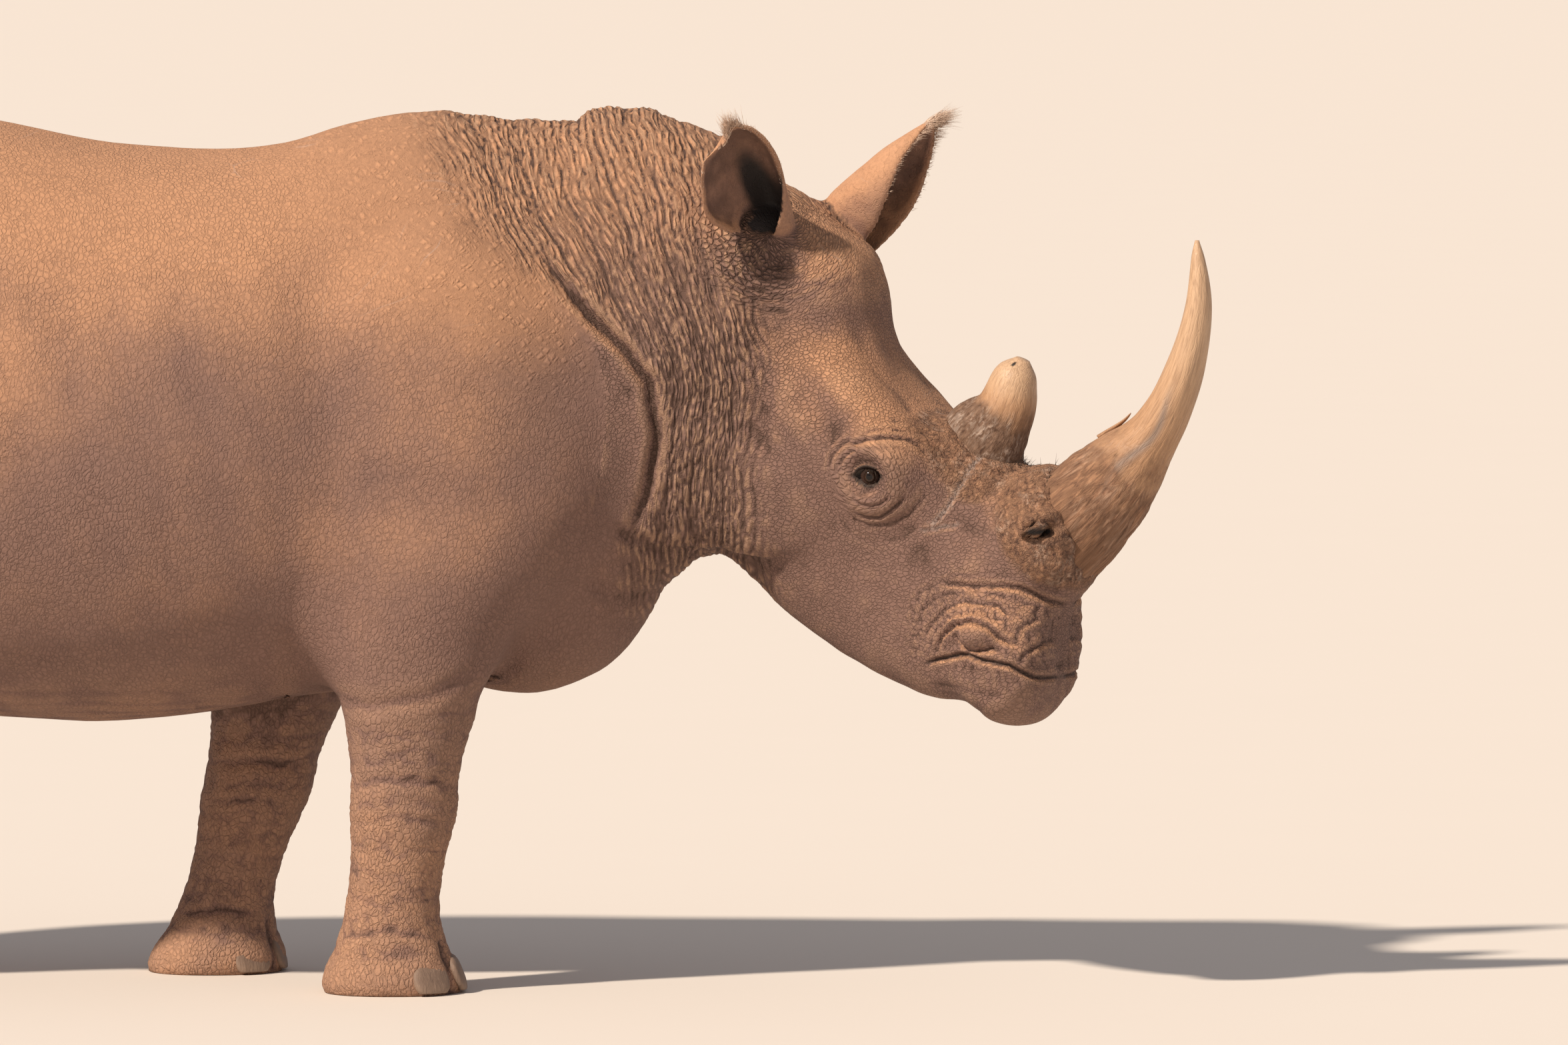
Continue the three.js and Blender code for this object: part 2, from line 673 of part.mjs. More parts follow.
const tailCurve = new THREE.CatmullRomCurve3([
  TAIL_ROOT.clone().add(new THREE.Vector3(70, 0, 55)),
  TAIL_ROOT.clone().add(new THREE.Vector3(-38, 0, -30)),
  TAIL_ROOT.clone().add(new THREE.Vector3(-72, 6, -0.35 * TAIL_LENGTH)),
  TAIL_ROOT.clone().add(new THREE.Vector3(-66, 16, -0.7 * TAIL_LENGTH)),
  TAIL_ROOT.clone().add(new THREE.Vector3(-44, 26, -TAIL_LENGTH)),
]);
const TUFT_FROM = 0.8; // share of the tail where its tuft begins
const tailRadii = (share) => [1, 1.15].map((w) => w * TAIL_RADIUS * (1 - 0.66 * share));
const tail = (grow) => rod(tailCurve, tailRadii, 10, 8, across, grow);

class TuftCurve extends THREE.Curve {
  getPoint(share) {
    const reach = TUFT_FROM + (1 - TUFT_FROM) * Math.min(share * 1.4, 1);
    const below = Math.max(share * 1.4 - 1, 0) * 150;
    return tailCurve.getPoint(reach).add(new THREE.Vector3(6 * share, 0, -below));
  }
}
const tuftSwell = (share) => Math.sin(Math.PI * Math.min(0.12 + share, 1)) ** 0.8;
const tuftRadii = (share) => [12, 46].map((w) => 9 + w * tuftSwell(share));
const tuft = () => rod(new TuftCurve(), tuftRadii, 5, 8, across).subtract(tail(CUT_GAP));

// ---------------------------------------------------------------- the flesh's nodes

const CELL = { trunk: [132, 114, 112], neck: [92, 88, 88], head: [68, 65, 66] };
const LEG_SIDES = 14; // points round a leg
const FOOT_LEVELS = [0, 12, 45, 82];
const LEG_LEVELS = [180, 270, 360, 440, 505, 550, 640, 730, 820, 940];
const RAY_REACH = 430;
const RAY_STEP = 14;

const fleshInBox = (low, high, cell, field = fleshField) =>
  toSolid(meshField(field, low, high, cell));

function trunkAndNeck(taken) {
  const trunk = fleshInBox([-1960, -600, 380], [620, 600, 1830], CELL.trunk);
  const neck = fleshInBox([-260, -520, 420], [1060, 520, 1830], CELL.neck);
  const without = (solid) => taken.reduce((left, cutter) => left.subtract(cutter), solid);
  return {
    trunk: without(keep(trunk, reversed(NECK_CUT))),
    neck: without(keep(neck, NECK_CUT, reversed(fromHead(HEAD_CUT)))),
  };
}

function headNodes() {
  const flesh = keep(fleshInBox([-420, -330, -560], [1170, 330, 480], CELL.head, fleshInHead), HEAD_CUT);
  const jaw = keep(flesh, MOUTH_CUT, JAW_CUT);
  const jawSpace = beyond(MOUTH_CUT, -CUT_GAP).intersect(beyond(JAW_CUT, -CUT_GAP));
  const taken = [jawSpace, frontHorn(CUT_GAP), rearHorn(CUT_GAP)];
  for (const make of Object.values(EARS)) taken.push(make(EAR_GAP));
  for (const side of [-1, 1]) taken.push(lidOpening(side), eyeball(side, CUT_GAP), nostril(side));
  return {
    head: taken.reduce((left, cutter) => left.subtract(cutter), flesh),
    lower_jaw: jaw,
    horn_front: frontHorn(0),
    horn_rear: rearHorn(0),
    ear_right: EARS.ear_right(0),
    ear_left: EARS.ear_left(0),
    eye_right: eyeball(-1, 0),
    eye_left: eyeball(1, 0),
  };
}

// The flesh round an upright line, as rings of points found along level rays from it.
function fleshRound(centreAt, levels, sides) {
  const rings = levels.map((z) => {
    const [cx, cy] = centreAt(z);
    return Array.from({ length: sides }, (_, i) => {
      const angle = (2 * Math.PI * (i + 0.5)) / sides;
      const at = (r) => [cx + r * Math.cos(angle), cy + r * Math.sin(angle)];
      const r = firstCrossing((t) => fleshField(...at(t), Math.max(z, 1)), RAY_REACH, RAY_STEP);
      return new THREE.Vector3(...at(r), z);
    });
  });
  return ringSolid(rings);
}

// How far along a ray its value first rises above zero, or the ray's whole reach.
function firstCrossing(valueAt, reach, step) {
  let [near, far] = [0, step];
  while (far < reach && valueAt(far) < 0) [near, far] = [far, far + step];
  if (far >= reach) return reach;
  for (let i = 0; i < 12; i++) {
    const between = (near + far) / 2;
    if (valueAt(between) < 0) near = between;
    else far = between;
  }
  return (near + far) / 2;
}

function legNodes(leg) {
  const side = leg.endsWith("right") ? -1 : 1;
  const centreAt = (z) => {
    const [, front, back] = legSection(leg, z);
    return [(front + back) / 2, side * (HOOF_HALF_TRACK + 10)];
  };
  const nails = Object.entries(NAILS);
  const foot = fleshRound(centreAt, FOOT_LEVELS.concat(ANKLE - CUT_GAP / 2), LEG_SIDES);
  const shank = fleshRound(centreAt, [ANKLE + CUT_GAP / 2, ...LEG_LEVELS], LEG_SIDES);
  const nodes = {
    [`leg_${leg}`]: shank.intersect(legBlock(leg, 0)),
    [`foot_${leg}`]: nails.reduce((left, [, size]) => left.subtract(nail(leg, size, CUT_GAP)), foot),
  };
  for (const [place, size] of nails) nodes[`nail_${leg}_${place}`] = nail(leg, size, 0);
  return nodes;
}

// ---------------------------------------------------------------- the animal

const FINISH = {
  skin: new THREE.MeshStandardMaterial({ color: 0x9a7d68, roughness: 0.85 }),
  horn: new THREE.MeshStandardMaterial({ color: 0xbfa080, roughness: 0.6 }),
  nail: new THREE.MeshStandardMaterial({ color: 0x6b5a4c, roughness: 0.7 }),
  eye: new THREE.MeshStandardMaterial({ color: 0x2a1a12, roughness: 0.15 }),
  hair: new THREE.MeshStandardMaterial({ color: 0x2c221c, roughness: 0.9 }),
};

function finishOf(name) {
  if (name.startsWith("horn")) return FINISH.horn;
  if (name.startsWith("nail")) return FINISH.nail;
  if (name.startsWith("eye")) return FINISH.eye;
  return name === "tail_tuft" ? FINISH.hair : FINISH.skin;
}

const legCutters = Object.keys(LEGS).map((leg) => legBlock(leg, CUT_GAP));
const earCutters = Object.values(EARS).map((make) => make(EAR_GAP).transform(headToBody.elements));
const body = trunkAndNeck([...legCutters, ...earCutters, tail(CUT_GAP)]);
const headParts = headNodes();
for (const [name, part] of Object.entries(headParts)) headParts[name] = part.transform(headToBody.elements);
const nodes = { ...body, ...headParts, tail: tail(0), tail_tuft: tuft() };
for (const leg of Object.keys(LEGS)) Object.assign(nodes, legNodes(leg));

const animal = new THREE.Group();
animal.name = "white_rhinoceros";
for (const [name, solid] of Object.entries(nodes)) {
  const mesh = new THREE.Mesh(toGeometry(solid), finishOf(name));
  mesh.name = name;
  animal.add(mesh);
}

const box = new THREE.Box3().setFromObject(animal);
const middle = box.getCenter(new THREE.Vector3());
animal.position.set(-middle.x, -middle.y, -box.min.z);

export default animal;
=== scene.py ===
"""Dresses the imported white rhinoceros: one skin over all the flesh, horns, eyes, nails and hair.

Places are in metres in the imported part's frame: +X towards the head, +Y to the animal's left, +Z up.
The tables of sections are in millimetres, either in the flesh's drawing frame, whose origin lies
under the shoulders, or in the head's frame: along the head from its joint with the neck, to the
animal's left, and up from its brow.
"""

from __future__ import annotations

import json
import logging
import math
from dataclasses import dataclass, field
from enum import Enum
from typing import Callable, Sequence

import bmesh
import bpy
import numpy as np
from mathutils import Matrix, Vector
from mathutils.bvhtree import BVHTree

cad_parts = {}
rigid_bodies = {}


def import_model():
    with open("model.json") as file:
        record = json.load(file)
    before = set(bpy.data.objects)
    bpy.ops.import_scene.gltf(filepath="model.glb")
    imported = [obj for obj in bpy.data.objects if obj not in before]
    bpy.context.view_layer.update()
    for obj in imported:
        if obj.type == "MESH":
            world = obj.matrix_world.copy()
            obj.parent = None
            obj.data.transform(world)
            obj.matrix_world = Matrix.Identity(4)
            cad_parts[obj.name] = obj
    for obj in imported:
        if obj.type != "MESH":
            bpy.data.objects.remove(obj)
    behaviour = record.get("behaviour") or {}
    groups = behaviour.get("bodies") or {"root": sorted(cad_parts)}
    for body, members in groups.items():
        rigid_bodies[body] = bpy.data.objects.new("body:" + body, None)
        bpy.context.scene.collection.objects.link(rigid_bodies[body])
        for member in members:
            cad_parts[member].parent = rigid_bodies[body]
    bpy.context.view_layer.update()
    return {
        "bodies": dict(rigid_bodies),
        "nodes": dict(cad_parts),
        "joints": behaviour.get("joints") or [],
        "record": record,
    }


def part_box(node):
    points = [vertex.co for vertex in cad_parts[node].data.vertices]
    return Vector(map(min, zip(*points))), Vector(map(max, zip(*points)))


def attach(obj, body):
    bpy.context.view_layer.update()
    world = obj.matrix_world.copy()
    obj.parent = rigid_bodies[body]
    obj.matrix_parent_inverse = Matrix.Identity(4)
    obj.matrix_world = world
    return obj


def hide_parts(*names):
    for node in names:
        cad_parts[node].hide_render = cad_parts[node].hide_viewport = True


log = logging.getLogger("rhinoceros")

Array = np.ndarray
BMesh = bmesh.types.BMesh
Material = bpy.types.Material
Mesh = bpy.types.Mesh
Object = bpy.types.Object
Rows = Sequence[Sequence[float]]
Field = Callable[[Array, Array, Array], Array]
Colour = tuple[float, float, float]
Triple = tuple[float, float, float]

MILLIMETRE = 0.001
BODY = "root"
LOOK_UPS = 1500  # stations at which a curve through a table is worked out once


# ------------------------------------------------------------------ small mathematics


def smooth_min(a: Array, b: Array, radius: float) -> Array:
    """The smaller of two fields, rounded off over a radius where they meet."""
    overlap = np.maximum(radius - np.abs(a - b), 0.0) / radius
    return np.minimum(a, b) - overlap * overlap * radius / 4


def rise(value: Array, low: float, high: float) -> Array:
    """0 below low, 1 above high, and a smooth step between them. low may be the larger."""
    share = np.clip((value - low) / (high - low), 0.0, 1.0)
    return share * share * (3 - 2 * share)


def bell(value: Array, middle: Array | float, width: float) -> Array:
    """1 at the middle, falling to 0 over about twice the width on both sides of it."""
    return np.exp(-(((value - middle) / width) ** 2))


def ripple(level: Array, length: float) -> Array:
    """A row of pleats across a level: 0 in each furrow and 1 on each crest."""
    return np.abs(np.sin(math.pi * level / length))


def lengths_of(rows: Array) -> Array:
    """The length of each row."""
    return np.linalg.norm(rows, axis=1)


def unit(rows: Array) -> Array:
    """Each row brought to length 1."""
    return rows / np.maximum(lengths_of(rows), 1e-9)[:, None]


def cos_sin(degrees: float) -> tuple[float, float]:
    """The cosine and the sine of an angle."""
    return math.cos(math.radians(degrees)), math.sin(math.radians(degrees))


def through_rows(rows: Rows) -> Callable[[Array], Array]:
    """A cubic through the rows of a table whose first column is the station.

    Args:
        rows: the table, in order of station.

    Returns:
        A function that gives the other columns, one row for each station asked for.
    """
    table = np.array(rows, float)
    last = len(table) - 1
    before = np.maximum(np.arange(last + 1) - 1, 0)
    after = np.minimum(np.arange(last + 1) + 1, last)
    slope = (table[after] - table[before]) / (table[after, :1] - table[before, :1])

    def exact(stations: Array) -> Array:
        at = np.clip(stations, table[0, 0], table[-1, 0])
        i = np.clip(np.searchsorted(table[:, 0], at, side="right") - 1, 0, last - 1)
        a, b = table[i], table[i + 1]
        step = (b[:, 0] - a[:, 0])[:, None]
        s = (at[:, None] - a[:, :1]) / step
        level = a * (1 + 2 * s) * (1 - s) ** 2 + b * s * s * (3 - 2 * s)
        return level + step * s * (1 - s) * (slope[i] * (1 - s) - slope[i + 1] * s)

    fine = np.linspace(table[0, 0], table[-1, 0], LOOK_UPS)
    columns = exact(fine)[:, 1:]

    def looked_up(stations: Array) -> Array:
        at = np.interp(stations, fine, np.arange(len(fine)))
        i = np.minimum(at.astype(int), len(fine) - 2)
        s = (at - i)[:, None]
        return columns[i] * (1 - s) + columns[i + 1] * s

    return looked_up


def loft(rows: Rows, start_cap: float, end_cap: float) -> Field:
    """A body whose section changes along its length.

    Args:
        rows: station, upper edge, lower edge, level of the greatest width, half width, sideways
            centre, and the roundness of the section above and below.
        start_cap: the length over which the first end is rounded off.
        end_cap: the same for the last end.
    """
    section = through_rows(rows)
    first, last = rows[0][0], rows[-1][0]

    def distance(along: Array, side: Array, height: Array) -> Array:
        high, low, middle, half, centre, round_high, round_low = section(along).T
        h = height - middle
        s = side - centre
        reach = np.where(h > 0, high - middle, middle - low)
        n = np.where(h > 0, round_high, round_low)
        r = ((np.abs(s) / half) ** n + (np.abs(h) / reach) ** n) ** (1 / n)
        beyond = np.maximum(first - along, along - last)
        past = np.where(along < first, (first - along) / start_cap, (along - last) / end_cap)
        r = np.where(past > 0, np.hypot(r, past), r)
        away = np.sqrt(h * h + s * s + np.maximum(beyond, 0) ** 2)
        return away * (1 - 1 / np.maximum(r, 1e-3))

    return distance


def ellipsoid(centre: Sequence[float], radii: Sequence[float], tilt: float = 0.0) -> Field:
    """An ellipsoid tilted by some degrees in the plane of its first and last axes."""
    c, s = cos_sin(tilt)
    rx, ry, rz = radii

    def distance(x: Array, y: Array, z: Array) -> Array:
        dx, dy, dz = x - centre[0], y - centre[1], z - centre[2]
        u, v, w = c * dx + s * dz, dy, c * dz - s * dx
        near = np.sqrt((u / rx) ** 2 + (v / ry) ** 2 + (w / rz) ** 2)
        slope = np.sqrt((u / rx**2) ** 2 + (v / ry**2) ** 2 + (w / rz**2) ** 2)
        return near * (near - 1) / np.maximum(slope, 1e-9)

    return distance


def both_sides(shape: Field) -> Field:
    """The same shape on both sides of the middle plane."""
    return lambda x, y, z: shape(x, np.abs(y), z)


def noise(points: Array, size: float, seed: int = 0) -> Array:
    """Smooth noise from -1 to 1 whose lumps are about one size across."""
    at = points / size + 31.7 * seed
    base = np.floor(at).astype(np.int64)
    share = at - base
    share = share * share * (3 - 2 * share)
    total = np.zeros(len(points))
    for corner in np.ndindex(2, 2, 2):
        weight = np.prod(np.where(corner, share, 1 - share), axis=1)
        total += weight * (scatter(base + corner) * 2 - 1)
    return total


def scatter(cells: Array, salt: int = 0) -> Array:
    """A number from 0 to 1 for each cell of a lattice, always the same for the same cell."""
    mixed = (cells * np.array([73856093, 19349663, 83492791])).sum(axis=-1) + salt * 2654435761
    mixed = (mixed ^ (mixed >> 13)) * 1274126177
    return ((mixed ^ (mixed >> 16)) & 0xFFFFFF) / 0xFFFFFF


def blocks(points: Array, size: float, seed: int = 0) -> Array:
    """How far each point is from the wall of its cell in a packing of irregular cells, 0 to 1."""
    at = points / size + 11.3 * seed
    base = np.floor(at).astype(np.int64)
    nearest = np.full(len(points), 9.0)
    second = np.full(len(points), 9.0)
    for step in np.ndindex(3, 3, 3):
        cell = base + np.array(step) - 1
        seat = cell + np.stack([scatter(cell, salt) for salt in (1, 2, 3)], axis=1)
        away = lengths_of(at - seat)
        second = np.minimum(second, np.maximum(nearest, away))
        nearest = np.minimum(nearest, away)
    return np.clip(second - nearest, 0, 1)


def near_line(flat: Array, line: Rows) -> tuple[Array, Array]:
    """The distance of points from a line of straight pieces.

    Args:
        flat: the points, in as many dimensions as the line's corners.
        line: the corners of the line.

    Returns:
        Each point's distance, and the share of the line's length at which it is nearest.
    """
    corners = np.array(line, float)
    lengths = lengths_of(np.diff(corners, axis=0))
    ends = np.concatenate([[0], np.cumsum(lengths)])
    best = np.full(len(flat), 1e9)
    share = np.zeros(len(flat))
    for i, length in enumerate(lengths):
        step = corners[i + 1] - corners[i]
        t = np.clip((flat - corners[i]) @ step / length**2, 0, 1)
        away = lengths_of(flat - corners[i] - t[:, None] * step)
        closer = away < best
        best = np.where(closer, away, best)
        share = np.where(closer, (ends[i] + t * length) / ends[-1], share)
    return best, share


# ------------------------------------------------------------------ the drawing's frames


class Side(Enum):
    """The two sides of the animal, as signs along +Y."""

    RIGHT = -1
    LEFT = 1

    @classmethod
    def of(cls, name: str) -> Side:
        """The side that the end of a name tells."""
        return cls.RIGHT if name.endswith("right") else cls.LEFT


class Drawing:
    """Turns places in the drawing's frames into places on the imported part, and back."""

    pitch = 56.0  # degrees that the head hangs below level
    turn = 24.0  # degrees that the head is turned to the animal's right
    joint = np.array([600.0, -70.0, 1400.0])  # the skull's joint with the neck
    eye = {"along": 524.0, "side": 174.0, "height": 72.0, "radius": 21.0, "tilt": 56.0}

    def __init__(self) -> None:
        """Finds the drawing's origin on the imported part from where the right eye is."""
        (cos_pitch, sin_pitch), (cos_turn, sin_turn) = cos_sin(self.pitch), cos_sin(self.turn)
        along = np.array([cos_pitch * cos_turn, -cos_pitch * sin_turn, -sin_pitch])
        left = np.array([sin_turn, cos_turn, 0.0])
        self.axes = np.stack([along, left, np.cross(along, left)])
        low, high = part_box("eye_right")
        packed = (np.array(low) + np.array(high)) / 2 / MILLIMETRE
        drawn = self.joint + self.eye_place(Side.RIGHT) @ self.axes
        self.origin = packed - drawn

    def eye_place(self, side: Side) -> Array:
        """The middle of an eyeball, in the head's frame."""
        return np.array([self.eye["along"], side.value * self.eye["side"], self.eye["height"]])

    def body(self, points: Array) -> Array:
        """Places on the part as millimetres in the flesh's frame."""
        return points / MILLIMETRE - self.origin

    def head(self, points: Array) -> Array:
        """Places on the part as millimetres in the head's frame."""
        return (self.body(points) - self.joint) @ self.axes.T

    def from_body(self, points: Array) -> Array:
        """Millimetres in the flesh's frame as places on the part."""
        return (np.asarray(points, float) + self.origin) * MILLIMETRE

    def from_head(self, points: Array) -> Array:
        """Millimetres in the head's frame as places on the part."""
        return self.from_body(np.asarray(points, float) @ self.axes + self.joint)

    def head_matrix(self) -> Matrix:
        """The head's frame as a matrix from its millimetres to the part's metres."""
        turned = Matrix(self.axes.T.tolist()).to_4x4() @ Matrix.Scale(MILLIMETRE, 4)
        place = Vector(self.from_head(np.zeros(3)))
        return Matrix.Translation(place) @ turned


# ------------------------------------------------------------------ the flesh's form


class Flesh:
    """The whole body as one smooth form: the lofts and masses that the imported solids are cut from."""

    limb_blend = 95.0
    muscle_blend = 110.0
    face_blend = 45.0
    half_track = 235.0  # from the middle plane to the middle of a foot
    lean_height = 400.0  # the height over which a leg leans by its amount in leg_lean
    trunk_rows: Rows = (
        (-1680, 1500, 950, 1270, 290, 0, 2.2, 2.1),
        (-1520, 1630, 760, 1180, 366, 0, 2.2, 2.1),
        (-1300, 1706, 630, 1120, 408, 0, 2.2, 2.1),
        (-1090, 1708, 560, 1080, 434, 0, 2.1, 2.1),
        (-870, 1676, 525, 1050, 455, 0, 2.0, 2.1),
        (-650, 1634, 512, 1040, 460, 0, 2.0, 2.1),
        (-450, 1620, 525, 1040, 450, 0, 2.0, 2.1),
        (-290, 1632, 550, 1050, 426, 0, 1.9, 2.1),
        (-150, 1674, 572, 1060, 396, 0, 1.8, 2.1),
        (0, 1701, 590, 1080, 366, 0, 1.75, 2.1),
        (150, 1687, 612, 1100, 342, 0, 1.75, 2.1),
        (280, 1690, 660, 1130, 312, -12, 1.9, 2.1),
        (383, 1718, 725, 1180, 290, -30, 1.9, 2.1),
        (480, 1700, 800, 1230, 268, -55, 2.0, 2.1),
        (560, 1652, 870, 1270, 240, -75, 2.0, 2.1),
    )
    # A leg's height, front edge, back edge and half width, and how far out its middle is.
    foreleg_rows: Rows = (
        (-60, 134, -132, 124, 0),
        (30, 134, -132, 126, 0),
        (85, 104, -112, 108, 2),
        (150, 84, -98, 92, 5),
        (250, 88, -96, 94, 8),
        (350, 108, -108, 104, 12),
        (430, 110, -112, 108, 16),
        (540, 136, -132, 120, 24),
        (680, 180, -168, 134, 34),
        (850, 225, -190, 140, 36),
        (1000, 235, -190, 120, 20),
    )
    hindleg_rows: Rows = (
        (-60, 128, -124, 118, 0),
        (30, 128, -124, 120, 0),
        (85, 92, -110, 100, 0),
        (150, 60, -104, 82, 2),
        (270, 42, -112, 78, 4),
        (380, 44, -134, 84, 6),
        (470, 72, -156, 94, 8),
        (560, 140, -140, 110, 10),
        (680, 250, -130, 130, 14),
        (850, 330, -130, 150, 10),
        (1050, 340, -130, 150, 0),
    )
    skull_rows: Rows = (
        (-90, 120, -230, -20, 160, 0, 2.2, 2.0),
        (0, 178, -290, 10, 168, 0, 2.3, 2.0),
        (110, 234, -325, 30, 176, 0, 2.4, 2.0),
        (200, 214, -340, 40, 182, 0, 2.4, 2.0),
        (320, 162, -338, 48, 184, 0, 2.5, 2.0),
        (420, 158, -330, 55, 182, 0, 2.5, 2.0),
        (540, 212, -312, 62, 172, 0, 2.3, 2.0),
        (660, 268, -276, 72, 150, 0, 2.2, 2.0),
        (780, 296, -216, 88, 136, 0, 2.2, 2.1),
        (880, 246, -150, 92, 134, 0, 2.3, 2.3),
        (960, 167, -80, 76, 138, 0, 2.6, 2.6),
        (1005, 124, -34, 60, 128, 0, 2.7, 2.7),
    )
    leg_shift = {"fore_right": -72, "fore_left": -438, "hind_right": -1600, "hind_left": -1405}
    leg_lean = {"fore_right": 24, "fore_left": 92, "hind_right": 0, "hind_left": 0}

    def __init__(self, drawing: Drawing) -> None:
        """Makes every field once."""
        self.drawing = drawing
        self.trunk = loft(self.trunk_rows, 165, 110)
        self.skull = loft(self.skull_rows, 110, 48)
        self.legs = {leg: self.leg(leg) for leg in self.leg_shift}
        # Each mass, and the places along the body between which it can reach.
        self.masses = (
            (both_sides(ellipsoid((70, 268, 1090), (215, 128, 360), 14)), -300, 600),  # shoulders
            (both_sides(ellipsoid((-1440, 240, 1060), (300, 180, 400), 8)), -2100, -900),  # thighs
            (ellipsoid((235, 0, 700), (170, 150, 120), 20), -100, 600),  # brisket
        )
        self.face = (
            ellipsoid((10, 0, 130), (110, 118, 56)),  # the poll
            both_sides(ellipsoid((14, 116, 120), (64, 52, 66))),  # under the ears
            both_sides(ellipsoid((420, 138, 112), (150, 46, 52), 4)),  # the brows
            both_sides(ellipsoid((522, 152, 72), (86, 44, 66))),  # round the eyes
            both_sides(ellipsoid((330, 132, -120), (220, 74, 200), -8)),  # the cheeks
            ellipsoid((782, 0, 256), (124, 112, 88), -20),  # under the front horn
            both_sides(ellipsoid((805, 102, 258), (74, 40, 56))),  # round the nostrils
            both_sides(ellipsoid((945, 70, 76), (76, 72, 72))),  # the upper lip
            both_sides(ellipsoid((880, 116, 66), (46, 36, 42))),  # the corners of the mouth
            ellipsoid((960, 0, 4), (80, 104, 54), 28),  # the chin
        )

    def leg(self, leg: str) -> Field:
        """One leg as a loft up its height."""
        rows = self.foreleg_rows if leg.startswith("fore") else self.hindleg_rows
        side = Side.of(leg).value
        full = []
        for height, front, back, half, out in rows:
            shift = self.leg_shift[leg] + self.leg_lean[leg] * height / self.lean_height
            middle = shift + (front + back) / 2
            centre = side * (self.half_track + out)
            full.append((height, front + shift, back + shift, middle, half, centre, 2.2, 2.2))
        return loft(full, 60, 150 if leg.startswith("fore") else 160)

    def before_leg(self, leg: str, x: Array, height: Array) -> Array:
        """How far places are in front of the middle of a leg, in millimetres."""
        return x - self.leg_shift[leg] - self.leg_lean[leg] * height / self.lean_height

    def head_distance(self, head: Array) -> Array:
        """The distance from the head alone, for places in the head's frame."""
        along, side, height = head.T
        whole = self.skull(along, side, height)
        for mass in self.face:
            whole = smooth_min(whole, mass(along, side, height), self.face_blend)
        return whole

    def distance(self, points: Array) -> Array:
        """How far places on the part are outside the flesh, in millimetres."""
        x, y, z = self.drawing.body(points).T
        whole = self.trunk(x, y, z)

        def join(where: Array, near: Array, radius: float) -> None:
            whole[where] = smooth_min(whole[where], near, radius)

        for mass, first, last in self.masses:
            some = (x > first) & (x < last)
            join(some, mass(x[some], y[some], z[some]), self.muscle_blend)
        for leg, shape in self.legs.items():
            some = (z < 1300) & (np.abs(x - self.leg_shift[leg]) < 760)
            join(some, shape(z[some], y[some], x[some]), self.limb_blend)
        some = x > 0
        join(some, self.head_distance(self.drawing.head(points[some])), self.limb_blend)
        return np.maximum(whole, -z)


# ------------------------------------------------------------------ meshes


def smooth_shaded(mesh: Mesh) -> None:
    """Has all of a mesh's faces shaded smooth."""
    mesh.polygons.foreach_set("use_smooth", np.ones(len(mesh.polygons), bool))


def linked(name: str, data: bpy.types.ID) -> Object:
    """A new object in the scene for a mesh, a light or a camera."""
    made_object = bpy.data.objects.new(name, data)
    bpy.context.scene.collection.objects.link(made_object)
    return made_object


def made(name: str, bm: BMesh) -> Object:
    """A new object in the scene from a bmesh, smooth shaded, and the bmesh freed."""
    mesh = bpy.data.meshes.new(name)
    bm.to_mesh(mesh)
    bm.free()
    smooth_shaded(mesh)
    return linked(name, mesh)


def merge(bm: BMesh, added: BMesh) -> None:
    """Adds a bmesh to another, and frees it."""
    passing = bpy.data.meshes.new("passing")
    added.to_mesh(passing)
    added.free()
    bm.from_mesh(passing)
    bpy.data.meshes.remove(passing)


def read(items: bpy.types.bpy_prop_collection, name: str, kind: type, width: int = 1) -> Array:
    """A property of every one of a mesh's items, as rows where it has more than one number."""
    flat = np.empty(len(items) * width, kind)
    items.foreach_get(name, flat)
    return flat.reshape(-1, width) if width > 1 else flat


def places(mesh: Mesh) -> Array:
    """A mesh's vertices as rows."""
    return read(mesh.vertices, "co", np.float32, 3).astype(float)


def put(mesh: Mesh, points: Array) -> None:
    """Moves a mesh's vertices to rows of places."""
    mesh.vertices.foreach_set("co", points.astype(np.float32).ravel())
    mesh.update()


def outward(mesh: Mesh) -> Array:
    """A mesh's vertex normals as rows."""
    return read(mesh.vertex_normals, "vector", np.float32, 3).astype(float)


def paint(mesh: Mesh, name: str, values: Array) -> None:
    """Keeps a number or a vector for each vertex under an attribute's name."""
    kind, entry = ("FLOAT", "value") if values.ndim == 1 else ("FLOAT_VECTOR", "vector")
    attribute = mesh.attributes.new(name, kind, "POINT")
    attribute.data.foreach_set(entry, values.astype(np.float32).ravel())


class Mesher:
    """The neighbours of a mesh's vertices, for relaxing it."""

    def __init__(self, mesh: Mesh, only: Array | None = None) -> None:
        """Reads the mesh's edges, or those between some of its vertices."""
        self.ends = read(mesh.edges, "vertices", np.int32, 2)
        self.count = len(mesh.vertices)
        if only is not None:
            order = np.cumsum(only) - 1
            self.ends = order[self.ends[only[self.ends].all(axis=1)]]
            self.count = int(only.sum())
        self.neighbours = np.maximum(np.bincount(self.ends.ravel(), minlength=self.count), 1)

    def means(self, points: Array) -> Array:
        """The mean of each vertex's neighbours."""
        a, b = self.ends.T
        columns = []
        for column in points.T:
            total = np.bincount(a, column[b], self.count) + np.bincount(b, column[a], self.count)
            columns.append(total / self.neighbours)
        return np.stack(columns, axis=1)

    def relaxed(self, points: Array, share: Array) -> Array:
        """Each vertex moved by its share of the way to the mean of its neighbours."""
        return points + (self.means(points) - points) * share[:, None]


